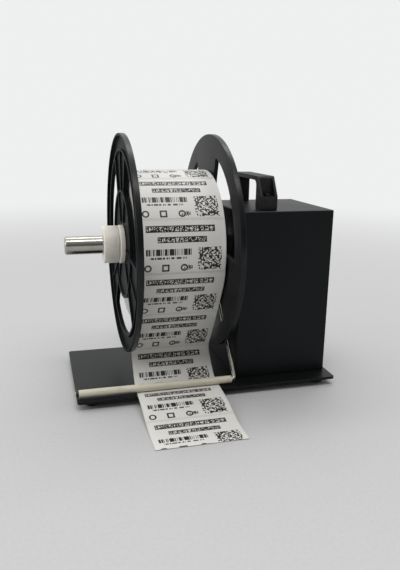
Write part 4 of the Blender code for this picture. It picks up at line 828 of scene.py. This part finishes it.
def make_plate():
    """The base sheet with its screw holes, on four rubber feet."""
    outline = rounded(rectangle(PLATE_LOW, PLATE_HIGH), PLATE_CORNER, 8)
    mesh = prism("plate_sheet", outline, PLATE_LOW.z, PLATE_HIGH.z)
    screws = nodes_of("housing_screw") + nodes_of("bracket_screw", ENDS)
    holes = drilled(screws, SCREW_HOLE_RADIUS, PLATE_LOW.z, PLATE_HIGH.z)
    plate = add_piece("plate_sheet", combined(mesh, holes), COAT, "base", ["base_plate"])
    ease(plate, 0.0005)
    sole, tread, collar = 0.0066, 0.0078, 0.009
    tread_height = 0.0012
    for node in [f"foot_{end}_{side}" for end in ENDS for side in ("left", "right")]:
        low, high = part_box(node)
        profile = [
            (0, low.z), (sole, low.z, 0.0004), (tread, low.z + tread_height, 0.001), (collar, high.z, 0.0006),
            (0, high.z),
        ]
        mesh = moved(turned(node, profile, 64), turn=(0, -math.pi / 2, 0))
        add_piece(f"rubber_{node}", mesh, RUBBER, "base", [node], (*middle(node).xy, 0))


def make_box():
    """The folded sheet box, open at its right end and below, with lips that the plate and panel screw to."""
    low = BOX_LOW
    high = BOX_HIGH
    shape = bmesh.new()
    bmesh.ops.create_cube(shape, size=1)
    place = Matrix.Translation((low + high) / 2) @ Matrix.Diagonal((*(high - low), 1))
    bmesh.ops.transform(shape, matrix=place, verts=shape.verts)
    folds = []
    for edge in shape.edges:
        ends = [vertex.co for vertex in edge.verts]
        at_right = all(end.x > high.x - OVERRUN for end in ends)
        at_bottom = all(end.z < low.z + OVERRUN for end in ends)
        if not at_right and not at_bottom:
            folds.append(edge)
    bmesh.ops.bevel(shape, geom=folds, offset=FOLD_RADIUS, segments=6, profile=0.5, affect="EDGES")
    outer = mesh_from(shape, "box_shell")
    left = low.x + SHEET
    front = low.y + SHEET
    back = high.y - SHEET
    top = high.z - SHEET
    lip_face = PANEL_LOW.x - GAP
    lip_back = lip_face - SHEET
    floor_top = low.z + SHEET
    below = low.z - OVERRUN
    cuts = [
        block("cavity", (left, front, floor_top), (lip_back, back, top)),
        block("panel_seat", (lip_face, front, below), (high.x + OVERRUN, back, top)),
        block("end_window", (lip_back - OVERRUN, front + LIP, below), (lip_face + OVERRUN, back - LIP, top)),
        block("floor_window", (left, front + LIP, below), (lip_back, back - LIP, floor_top + OVERRUN)),
    ]
    cuts += drilled(["spindle"], SPINDLE_HOLE_RADIUS, low.x, left, "X", 64)
    cuts += drilled(["dancer_shaft"], BUSHING_HOLE_RADIUS, low.x, left, "X", 48)
    cuts += drilled(nodes_of("housing_screw"), SCREW_HOLE_RADIUS, low.z, floor_top)
    cuts += drilled(nodes_of("panel_screw"), SCREW_HOLE_RADIUS, lip_back, lip_face, "X")
    cuts += drilled(nodes_of("handle_screw", ENDS), SCREW_HOLE_RADIUS, top, high.z)
    box = add_piece("box_shell", combined(outer, cuts), COAT, "base", ["housing"])
    ease(box, 0.0002, 2, 50)


def make_panel():
    low = PANEL_LOW.x
    high = PANEL_HIGH.x
    outline = rounded(rectangle(PANEL_LOW.yz, PANEL_HIGH.yz), 0.001)
    cuts = drilled(["speed_knob"], POT_HOLE_RADIUS, low, high, "X")
    cuts += drilled(["power_inlet"], INLET_HOLE_RADIUS, low, high, "X")
    cuts += drilled(nodes_of("panel_screw"), SCREW_HOLE_RADIUS, low, high, "X")
    half = Vector([part + GAP for part in SWITCH_HALF])
    for node in ("power_switch", "direction_switch"):
        centre = middle(node).yz
        hole = rectangle(centre - half, centre + half)
        cuts.append(prism("switch_hole", hole, low - OVERRUN, high + OVERRUN, "X"))
    mesh = combined(prism("panel_sheet", outline, low, high, "X"), cuts)
    ease(add_piece("panel_sheet", mesh, COAT, "base", ["control_panel"]), 0.0003)


def make_handle():
    """A strap handle: leaning ends, a finger gap, and a pocket in each end for its screw."""
    low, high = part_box("carry_handle")
    left, front, foot = low
    right, back, top = high
    step = foot + 0.0145
    lean = 0.0125
    leg = 0.0145
    bar = 0.0045
    pocket_depth = 0.0115
    pocket_half = 0.0071
    pocket_roof = top - 0.0025
    outline = rounded(
        [(front, foot), (back, foot), (back, step), (back - lean, top), (front + lean, top), (front, step)],
        [0, 0, 0.001, 0.003, 0.003, 0.001],
    )
    grip = rectangle((front + leg, foot - OVERRUN), (back - leg, top - bar))
    cuts = [prism("grip", rounded(grip, [0, 0, 0.006, 0.006], 10), left - OVERRUN, right + OVERRUN, "X")]
    centre = (left + right) / 2
    for near, far in ((front - OVERRUN, front + pocket_depth), (back - pocket_depth, back + OVERRUN)):
        left_corner = (centre - pocket_half, near, step)
        cuts.append(block("pocket", left_corner, (centre + pocket_half, far, pocket_roof)))
    cuts += drilled(nodes_of("handle_screw", ENDS), SCREW_HOLE_RADIUS, foot, step)
    mesh = combined(prism("strap_handle", outline, left, right, "X"), cuts)
    ease(add_piece("strap_handle", mesh, HANDLE_PLASTIC, "base", ["carry_handle"]), 0.0007)


def opening_outline(direction, grown=0.0, steps=8):
    """A stretch of a ring with round corners, centred on a direction: an opening, or its outline grown."""
    inner = OPENING_INNER_RADIUS - grown
    outer = OPENING_OUTER_RADIUS + grown
    half = OPENING_HALF_ANGLE + grown / OPENING_INNER_RADIUS
    corner = OPENING_CORNER + grown
    outer_tip = half - math.asin(corner / (outer - corner))
    inner_tip = half - math.asin(corner / (inner + corner))
    side = half + math.pi / 2
    upper = arc((0, 0), outer, 0, outer_tip, 3 * steps)[:-1]
    upper += arc(polar(outer - corner, outer_tip), corner, outer_tip, side, steps)
    upper += arc(polar(inner + corner, inner_tip), corner, side, inner_tip + math.pi, steps)
    upper += arc((0, 0), inner, inner_tip, 0, 3 * steps)[1:]
    lower = [(u, -v) for u, v in upper[::-1]][1:-1]
    along, aside = polar(1, direction)
    return [(u * along - v * aside, u * aside + v * along) for u, v in upper + lower]


def flange_mesh(name, side, first):
    """A ribbed flange about X with its label face at zero and its ribs towards one side."""
    ring_inner = RING_OUTER_RADIUS - RIB_WIDTH
    hub_inner = HUB_RING_RADIUS - RIB_WIDTH
    spigot = CORE_INNER_RADIUS - GAP
    rim_inner = FLANGE_RADIUS - RIM_WIDTH
    sharp = 0.0004
    soft = 0.0008
    profile = [
        (BORE_RADIUS, -SPIGOT_LENGTH, sharp), (BOSS_RADIUS, -SPIGOT_LENGTH, sharp), (BOSS_RADIUS, 0, soft),
        (spigot - SPIGOT_WALL, 0, soft), (spigot - SPIGOT_WALL, -SPIGOT_LENGTH, sharp),
        (spigot, -SPIGOT_LENGTH, soft), (spigot, 0, 0.0003), (FLANGE_RADIUS, 0, 0.0007),
        (FLANGE_RADIUS, FLANGE_THICK, 0.0007), (rim_inner, FLANGE_THICK, sharp),
        (rim_inner, DISC_THICK, soft), (RING_OUTER_RADIUS, DISC_THICK, soft),
        (RING_OUTER_RADIUS, RIB_HEIGHT, sharp),
        (ring_inner, RIB_HEIGHT, sharp), (ring_inner, DISC_THICK, soft), (HUB_RING_RADIUS, DISC_THICK, soft),
        (HUB_RING_RADIUS, RIB_HEIGHT, sharp), (hub_inner, RIB_HEIGHT, sharp), (hub_inner, DISC_THICK, soft),
        (BORE_RADIUS, DISC_THICK, sharp),
    ]
    profile = [(radius, side * height, *more) for radius, height, *more in profile]
    half = RIB_WIDTH / 2
    beside_opening = OPENING_HALF_ANGLE + half / OPENING_INNER_RADIUS
    opening_reach = 0.02
    frame_ends = sorted((side * DISC_THICK / 2, side * RIB_HEIGHT))
    bar_ends = sorted((side * DISC_THICK / 2, side * (RIB_HEIGHT - 0.0006)))
    frames = []
    openings = []
    bars = []
    for number in range(OPENING_COUNT):
        direction = first + 2 * math.pi * number / OPENING_COUNT
        frames.append(prism("frame", opening_outline(direction, RIB_WIDTH), *frame_ends, "X"))
        openings.append(prism("opening", opening_outline(direction), -opening_reach, opening_reach, "X"))
        for way in (-1, 1):
            bars.append((direction + way * beside_opening, RIB_START_RADIUS, OPENING_INNER_RADIUS))
        bars.append((direction + math.pi / OPENING_COUNT, HUB_RING_RADIUS - half, RING_OUTER_RADIUS - half))
    ribs = []
    for direction, start, end in bars:
        rib = block("rib", (bar_ends[0], start, -half), (bar_ends[1], end, half))
        ribs.append(moved(rib, turn=(direction, 0, 0)))
    return combined(combined(turned(name, profile, 192, 3), frames + ribs, "UNION"), openings)


def make_flanges():
    inner_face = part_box("inner_flange")[1].x - FLANGE_THICK
    outer_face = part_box("outer_flange")[0].x + FLANGE_THICK
    flanges = [
        ("inner_flange", 1, INNER_OPENING_FIRST, INNER_FLANGE_PLASTIC, "reel", inner_face),
        ("outer_flange", -1, OUTER_OPENING_FIRST, OUTER_FLANGE_PLASTIC_SHADED, "outer_set", outer_face),
    ]
    for node, side, first, paint, body, face in flanges:
        name = f"{node}_disc"
        place = (face, *REEL_AXIS.yz)
        flange = add_piece(name, flange_mesh(name, side, first), paint, body, [node], place)
        paint_beyond(flange, FLANGE_RADIUS - 0.0003, RIM_PLASTIC)
        ease(flange, 0.0003, 2)


def make_spindle():
    """The shaft with a centre mark in its tip, and the fixed hub behind the inner flange."""
    low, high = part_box("spindle")
    start = low.x
    end = high.x
    shoulder = BOX_LOW.x + SHEET + GAP + 0.003
    tail = SPINDLE_TAIL_RADIUS
    profile = [
        (0, start), (0.0006, start), (0.0012, start + 0.0007), (SPINDLE_RADIUS - 0.0016, start, 0.0003),
        (SPINDLE_RADIUS, start + 0.0015, 0.0006), (SPINDLE_RADIUS, shoulder, 0.0003), (tail, shoulder),
        (tail, end, 0.0006), (0, end),
    ]
    add_turned("spindle_shaft", profile, 96, STEEL, "reel", "spindle", REEL_AXIS)
    low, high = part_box("reel_hub")
    profile = tube(BORE_RADIUS, REEL_HUB_RADIUS, low.x, high.x, 0.0002, 0.001)
    add_turned("reel_hub_collar", profile, 96, ALUMINIUM, "reel", "reel_hub", REEL_AXIS)


def make_collar():
    """White nylon collar with a wider foot, and a socket set screw in its side."""
    low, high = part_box("lock_collar")
    left = low.x
    right = high.x
    foot = right - COLLAR_FOOT_LENGTH
    groove = COLLAR_GROOVE
    profile = [
        (BORE_RADIUS, left, 0.0004), (COLLAR_RADIUS, left, 0.0012), (COLLAR_RADIUS, foot - groove, 0.0005),
        (COLLAR_RADIUS - groove, foot, 0.0004), (COLLAR_FOOT_RADIUS, foot + groove, 0.0005),
        (COLLAR_FOOT_RADIUS, right, 0.0008), (BORE_RADIUS, right, 0.0003),
    ]
    centre = (left + SET_SCREW_FROM_END, 0)
    hole = prism("set_hole", circle(centre, SET_SCREW_RADIUS + GAP, 48), SPINDLE_RADIUS, 0.03, "Y")
    mesh = combined(turned("nylon_collar", profile), [hole])
    paint = PAINTS["white_nylon"]
    collar = add_piece("nylon_collar", mesh, paint, "outer_set", ["lock_collar"], REEL_AXIS)
    ease(collar, 0.0002, 2, 55)
    low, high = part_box("collar_screw")
    bottom = low.y - REEL_AXIS.y
    top = high.y - REEL_AXIS.y
    socket_radius = 0.0017
    socket_depth = 0.003
    mesh = prism("set_screw", circle(centre, SET_SCREW_RADIUS, 48), bottom, top, "Y")
    socket = prism("socket", circle(centre, socket_radius, 6), top - socket_depth, high.y + OVERRUN, "Y")
    mesh = combined(mesh, [socket])
    screw = add_piece("collar_set_screw", mesh, ZINC, "outer_set", ["collar_screw"], REEL_AXIS)
    ease(screw, 0.0003, 2, 50)


def web_path(steps=24):
    """Middle line of the free labels, as (y, z): off the roll, round a bend, over the plate, to the table."""
    def towards(angle):
        return Vector(polar(1, angle))

    quarter = math.pi / 2
    start = Vector(polar(WEB_RADIUS, WEB_LEAVES_AT, (0, REEL_AXIS.z)))
    heading = WEB_LEAVES_AT + quarter
    bend_start = start + towards(heading) * WEB_STRAIGHT
    bend_centre = bend_start + towards(heading - quarter) * WEB_BEND_RADIUS
    path = [start, start.lerp(bend_start, 0.5)]
    path += arc(bend_centre, WEB_BEND_RADIUS, heading + quarter, heading + quarter - WEB_BEND_TURN, steps)
    heading -= WEB_BEND_TURN
    on_plate = PLATE_HIGH.z + GAP + WEB_THICK / 2
    flat = math.pi - heading % (2 * math.pi)
    slope_start = Vector(path[-1])
    landing_height = WEB_LANDING_RADIUS * (1 - math.cos(flat))
    slope = (slope_start.y - on_plate - landing_height) / -math.sin(heading)
    slope_end = slope_start + towards(heading) * slope
    landing_centre = slope_end + towards(heading - quarter) * WEB_LANDING_RADIUS
    path += arc(landing_centre, WEB_LANDING_RADIUS, heading + quarter, heading + quarter + flat, steps)
    on_table = GAP + WEB_THICK / 2
    drop_turn = math.acos(1 - (on_plate - on_table) / (2 * WEB_DROP_RADIUS))
    edge_y = PLATE_LOW.y - REEL_AXIS.y - WEB_THICK
    path += arc((edge_y, on_plate - WEB_DROP_RADIUS), WEB_DROP_RADIUS, quarter, quarter + drop_turn, steps)
    foot = edge_y - 2 * WEB_DROP_RADIUS * math.sin(drop_turn)
    path += arc((foot, on_table + WEB_DROP_RADIUS), WEB_DROP_RADIUS, drop_turn - quarter, -quarter, steps)[1:]
    path.append((foot - WEB_ON_TABLE, on_table))
    return [Vector(point) for point in path]


WEB_POINTS = web_path()
WEB_TRAVEL = [0.0]
for before, after in zip(WEB_POINTS, WEB_POINTS[1:]):
    WEB_TRAVEL.append(WEB_TRAVEL[-1] + (after - before).length)


def on_labels(travel, rise):
    """The (y, z) point at a distance from where the labels leave the roll, raised off their liner."""
    if travel <= 0:
        return polar(WEB_RADIUS + rise, WEB_LEAVES_AT + travel / WEB_RADIUS, REEL_AXIS.yz)
    index = 1
    while index < len(WEB_TRAVEL) - 1 and WEB_TRAVEL[index] < travel:
        index += 1
    first = WEB_POINTS[index - 1]
    step = (WEB_POINTS[index] - first).normalized()
    point = first + step * (travel - WEB_TRAVEL[index - 1])
    return REEL_AXIS.y + point.x + rise * step.y, point.y - rise * step.x


def drift_at(travel):
    """How far the labels have wandered to the left."""
    share = min(max((travel - WEB_SKEW_START) / WEB_SKEW_LENGTH, 0), 1)
    return WEB_SKEW * share * share * (3 - 2 * share)


def strip_mesh(name, strips):
    """Thin paper strips along the labels' path: rows of (travel, left, right), two rises and a start."""
    shape = bmesh.new()
    layer = shape.loops.layers.uv.new("UVMap")
    for rows, under, over, start in strips:
        grid = []
        for travel, left, right in rows:
            shift = ROLL_MIDDLE - LABEL_WIDTH / 2 - drift_at(travel)
            corners = []
            for across, rise in ((left, over), (right, over), (right, under), (left, under)):
                vertex = shape.verts.new((shift + across, *on_labels(travel, rise)))
                corners.append((vertex, across, travel - start))
            grid.append(corners)
        faces = [grid[0], grid[-1]]
        for first, second in zip(grid, grid[1:]):
            for i in range(4):
                j = (i + 1) % 4
                faces.append((first[i], first[j], second[j], second[i]))
        for corners in faces:
            face = shape.faces.new([corner[0] for corner in corners])
            for loop, corner in zip(face.loops, corners):
                loop[layer].uv = corner[1:]
    return mesh_from(shape, name)


def label_rows(start, count=16):
    """Rows of one label with round corners, from its top edge on."""
    left = LABEL_INSET
    right = LABEL_WIDTH - LABEL_INSET
    corner = arc((LABEL_CORNER, LABEL_CORNER), -LABEL_CORNER, 0, math.pi / 2, 5)
    plain = LABEL_LENGTH - 2 * LABEL_CORNER
    rows = [(start + depth, left + inset, right - inset) for depth, inset in corner]
    rows += [(start + LABEL_CORNER + plain * step / count, left, right) for step in range(1, count)]
    rows += [(start + LABEL_LENGTH - depth, left + inset, right - inset) for depth, inset in corner[::-1]]
    return rows


def make_labels():
    """The wound roll, its outer turn of labels, and the free end with its own labels."""
    low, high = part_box("label_roll")
    outer = ROLL_RADIUS + GAP / 2
    profile = tube(CORE_OUTER_RADIUS + GAP, outer, low.x, high.x, 0.0003)
    paper = wound_paper()
    roll = add_turned("wound_labels", profile, 256, paper, "reel", "label_roll", REEL_AXIS)
    paint_beyond(roll, outer - 0.00015, LINER)
    low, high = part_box("roll_core")
    profile = tube(CORE_INNER_RADIUS, CORE_OUTER_RADIUS, low.x, high.x, 0.0004)
    paint = PAINTS["cardboard"]
    add_turned("cardboard_core", profile, 128, paint, "reel", "roll_core", REEL_AXIS)
    strips = []
    for number in range(-LABELS_ON_ROLL, 0):
        start = LABEL_FIRST + number * LABEL_PITCH
        strips.append((label_rows(start), -WEB_THICK, -WEB_THICK + LABEL_THICK + GAP / 2, start))
    add_piece("roll_labels", strip_mesh("roll_labels", strips), PRINTED_LABEL, "reel")
    end = WEB_TRAVEL[-1]
    begin = LABEL_FIRST - (LABEL_PITCH - LABEL_LENGTH) / 2
    count = 200
    rows = [(begin + (end - begin) * i / count, 0, LABEL_WIDTH) for i in range(count + 1)]
    mesh = strip_mesh("label_liner", [(rows, -LINER_THICK / 2, LINER_THICK / 2, begin)])
    add_piece("label_liner", mesh, LINER, "base", ["label_web"])
    strips = []
    for number in range(LABELS_FREE):
        start = LABEL_FIRST + number * LABEL_PITCH + (LABEL_SHIFT if number >= LABEL_SHIFT_FROM else 0)
        rows = [row for row in label_rows(start) if row[0] < end]
        if start + LABEL_LENGTH > end:
            rows.append((end, *rows[-1][1:]))
        strips.append((rows, LINER_THICK / 2, LINER_THICK / 2 + LABEL_THICK, start))
    add_piece("free_labels", strip_mesh("free_labels", strips), PRINTED_LABEL, "base")


def make_dancer():
    """A bright rod from its pivot down to the labels, bent into the axle of an ivory roller."""
    low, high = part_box("dancer_roller")
    profile = tube(0.0026, 0.004, low.x, high.x, 0.0003)
    paint = PAINTS["ivory_plastic"]
    add_turned("roller_tube", profile, 64, paint, "roller", "dancer_roller", ROLLER_AXIS)
    low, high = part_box("roller_cap")
    profile = tube(0.0025, 0.0037, low.x, high.x, 0.0005)
    paint = GLOSS_PLASTIC
    add_turned("roller_end_cap", profile, 64, paint, "roller", "roller_cap", ROLLER_AXIS)
    away = (ROLLER_AXIS - DANCER_AXIS).normalized()
    reach = (ROLLER_AXIS - DANCER_AXIS).length
    arm_x = BOX_LOW.x - ROD_FROM_BOX
    top = Vector((arm_x, *DANCER_AXIS.yz))
    centre = top + Vector((-ROD_BEND, 0, 0)) + away * (reach - ROD_BEND)
    points = [top + away * ROD_START]
    for out, down in arc((0, 0), ROD_BEND, 0, math.pi / 2, 12):
        points.append(centre + Vector((out, 0, 0)) + away * down)
    points.append(Vector((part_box("dancer_arm")[0].x, *ROLLER_AXIS.yz)))
    curve = bpy.data.curves.new("dancer_rod", "CURVE")
    curve.dimensions = "3D"
    curve.bevel_depth = ROD_RADIUS
    curve.bevel_resolution = 10
    curve.use_fill_caps = True
    spline = curve.splines.new("POLY")
    spline.points.add(len(points) - 1)
    for point, place in zip(spline.points, points):
        point.co = (*place, 1)
    curve.materials.append(STEEL)
    declare(new_object("dancer_rod", curve), "dancer", ["dancer_arm"])
    low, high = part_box("dancer_hub")
    hub = turned("dancer_pivot_hub", tube(*PIVOT_HUB_RADII, low.x, high.x, 0.0004, 0.0007), 96)
    hole = prism("arm_hole", circle((0, 0), ROD_RADIUS + GAP), 0, ROD_HOLE_DEPTH)
    moved(hole, Vector((arm_x, 0, 0)) + away * ROD_HOLE_START, (math.atan2(-away.y, away.z), 0, 0))
    mesh = combined(hub, [hole])
    add_piece("dancer_pivot_hub", mesh, ZINC, "dancer", ["dancer_hub"], DANCER_AXIS)
    low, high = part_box("dancer_shaft")
    profile = [(0, low.x), (PIVOT_RADIUS, low.x, 0.0005), (PIVOT_RADIUS, high.x, 0.0003), (0, high.x)]
    name = "dancer_pivot_shaft"
    add_turned(name, profile, 64, STEEL, "dancer", "dancer_shaft", DANCER_AXIS)


def dial_angle(step):
    return math.radians(DIAL_FIRST - DIAL_STEP * step)


def make_knob():
    """A fluted knob with a skirt and a white pointer line, and its dial on the panel."""
    flutes = 20
    flute_depth = 0.0005
    stem = 0.003
    hollow = 0.0063
    skirt = 0.0115
    grip = 0.0101
    grip_top = 0.0098
    dish = 0.0062
    dish_depth = 0.0004
    low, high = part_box("speed_knob")
    top = high.x
    base = PANEL_HIGH.x + 0.001
    ceiling = base + 0.0035
    flutes_from = base + 0.0042
    profile = [
        (0, low.x), (stem, low.x), (stem, ceiling), (hollow, ceiling), (hollow, base), (skirt, base, 0.0004),
        (skirt, base + 0.003, 0.0006), (grip, base + 0.0036, 0.0004), (grip_top, top, 0.0011),
        (0.0066, top, 0.0004), (dish, top - dish_depth, 0.0002), (0, top - dish_depth),
    ]
    mesh = turned("fluted_knob", profile, flutes * 12)
    for vertex in mesh.vertices:
        radius = math.hypot(*vertex.co.yz)
        if vertex.co.x > flutes_from and radius > 0.0092:
            wave = math.cos(flutes * math.atan2(vertex.co.z, vertex.co.y))
            fade = min((vertex.co.x - flutes_from) / 0.001, (top + 0.0004 - vertex.co.x) / 0.0015, 1)
            pull = flute_depth * max(0, -wave) * max(fade, 0)
            vertex.co.y *= 1 - pull / radius
            vertex.co.z *= 1 - pull / radius
    add_piece("fluted_knob", mesh, GLOSS_PLASTIC, "speed_dial", ["speed_knob"], KNOB_AXIS)
    half = 0.0005
    line = block("pointer", (top - 0.0005, 0.0028, -half), (top - 0.00015, 0.0061, half))
    moved(line, turn=(dial_angle(0), 0, 0))
    add_piece("knob_pointer", line, MARK, "speed_dial", (), KNOB_AXIS)
    half = 0.0002
    shape = bmesh.new()
    for step in range(11):
        end = 0.0162 if step % 5 == 0 else 0.0149
        mark = block("mark", (PANEL_HIGH.x, 0.0132, -half), (PANEL_HIGH.x + 0.00008, end, half))
        shape.from_mesh(moved(mark, KNOB_AXIS, (dial_angle(step), 0, 0)))
    add_piece("dial_marks", mesh_from(shape, "dial_marks"), MARK, "base")
    for number in (0, 5, 10):
        text = bpy.data.curves.new(f"dial_number_{number}", "FONT")
        text.body = str(number)
        text.size = 0.0042
        text.align_x = "CENTER"
        text.align_y = "CENTER"
        text.extrude = 0.00004
        text.materials.append(MARK)
        label = new_object(f"dial_number_{number}", text)
        label.location = (PANEL_HIGH.x + text.extrude, *polar(0.0192, dial_angle(number), KNOB_AXIS.yz))
        label.rotation_euler = (math.pi / 2, 0, math.pi / 2)
        declare(label, "base")


def make_switches():
    """Two rocker switches: a frame with a rounded rim, and a dished rocker with a mark on each half."""
    bezel_thick = 0.002
    pocket_depth = 0.011
    pocket_half = (0.00515, 0.0076)
    pivot_depth = 0.0015
    rocker_half = 0.00475
    mark_out = 0.0036
    mark_half = 0.0011
    crest = pivot_depth + GAP + bezel_thick + 0.0024
    end = math.acos(crest / ROCKER_RADIUS)
    for kind, tilt in (("power", math.radians(9)), ("direction", 0)):
        node = f"{kind}_switch"
        low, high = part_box(node)
        centre = middle(node).yz
        face = high.x
        bezel = prism(node, rounded(rectangle(low.yz, high.yz), 0.0012), face - bezel_thick, face, "X")
        body = bar("body", centre, SWITCH_HALF, low.x, face - 0.0005)
        pocket = bar("pocket", centre, pocket_half, face - pocket_depth, face + OVERRUN)
        mesh = combined(combined(bezel, [body], "UNION"), [pocket])
        ease(add_piece(f"{kind}_switch_frame", mesh, GLOSS_PLASTIC, "base", [node]), 0.0004)
        rocker = f"{kind}_rocker"
        button = f"{kind}_button"
        pivot = (PANEL_HIGH.x - pivot_depth, *centre)
        outline = arc((0, 0), ROCKER_RADIUS, end, 2 * math.pi - end, 32)
        half = outline[0][1]
        for step in range(1, 16):
            share = step / 8 - 1
            outline.append((crest - ROCKER_DISH * (1 - share * share), half * share))
        mesh = moved(prism(rocker, outline, -rocker_half, rocker_half, "Y"), turn=(0, tilt, 0))
        cap = add_piece(f"{rocker}_cap", mesh, GLOSS_PLASTIC, button, [rocker], pivot)
        ease(cap, 0.0004, 3, 30)
        for side, level in ((-1, "lower"), (1, "upper")):
            height = side * mark_out
            depth = crest - ROCKER_DISH * (1 - (height / half) ** 2)
            slope = math.atan(2 * ROCKER_DISH * height / half ** 2)
            if kind == "direction":
                tip = side * mark_half
                corners = [(-mark_half, -tip), (mark_half, -tip), (0, tip)]
                mark = prism("mark", corners, -MARK_THICK, MARK_THICK, "X")
            elif level == "upper":
                mark = bar("mark", (0, 0), (0.00028, mark_half), -MARK_THICK, MARK_THICK)
            else:
                mark = turned("mark", tube(0.0008, 0.0012, -MARK_THICK, MARK_THICK), 32)
            moved(moved(mark, (depth, 0, height), (0, -slope, 0)), turn=(0, tilt, 0))
            add_piece(f"{kind}_mark_{level}", mark, MARK, button, (), pivot)


def make_inlet():
    """A round low-voltage socket with its pin."""
    low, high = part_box("power_inlet")
    face = PANEL_HIGH.x + GAP
    bottom = face - 0.009
    barrel, flange, bore, pin = 0.0054, 0.0072, 0.0029, 0.001
    profile = [
        (0, low.x), (barrel, low.x, 0.0003), (barrel, face), (flange, face, 0.0002), (flange, high.x, 0.0008),
        (bore, high.x, 0.0005), (bore, bottom), (pin, bottom), (pin, face, 0.0004), (0, face),
    ]
    place = axis_of("power_inlet")
    add_turned("inlet_socket", profile, 72, GLOSS_PLASTIC, "base", "power_inlet", place)


def finish_carried_over():
    """Gives each node that still shows its finish and eased edges."""
    slots = {part["node"]: part["material_slot"] for part in frame["record"]["subparts"]}
    for name, node in frame["nodes"].items():
        if node.hide_render:
            continue
        node.data.materials.clear()
        node.data.materials.append(PAINTS[slots[name]])
        merge = node.modifiers.new("merged", "WELD")
        merge.merge_threshold = 0.00001
        ease(node, 0.0002, 2, 50, False)


make_camera()
make_world()
make_lights()
make_floor()
make_plate()
make_box()
make_panel()
make_handle()
make_screws()
make_flanges()
make_spindle()
make_collar()
make_labels()
make_dancer()
make_knob()
make_switches()
make_inlet()
finish_carried_over()
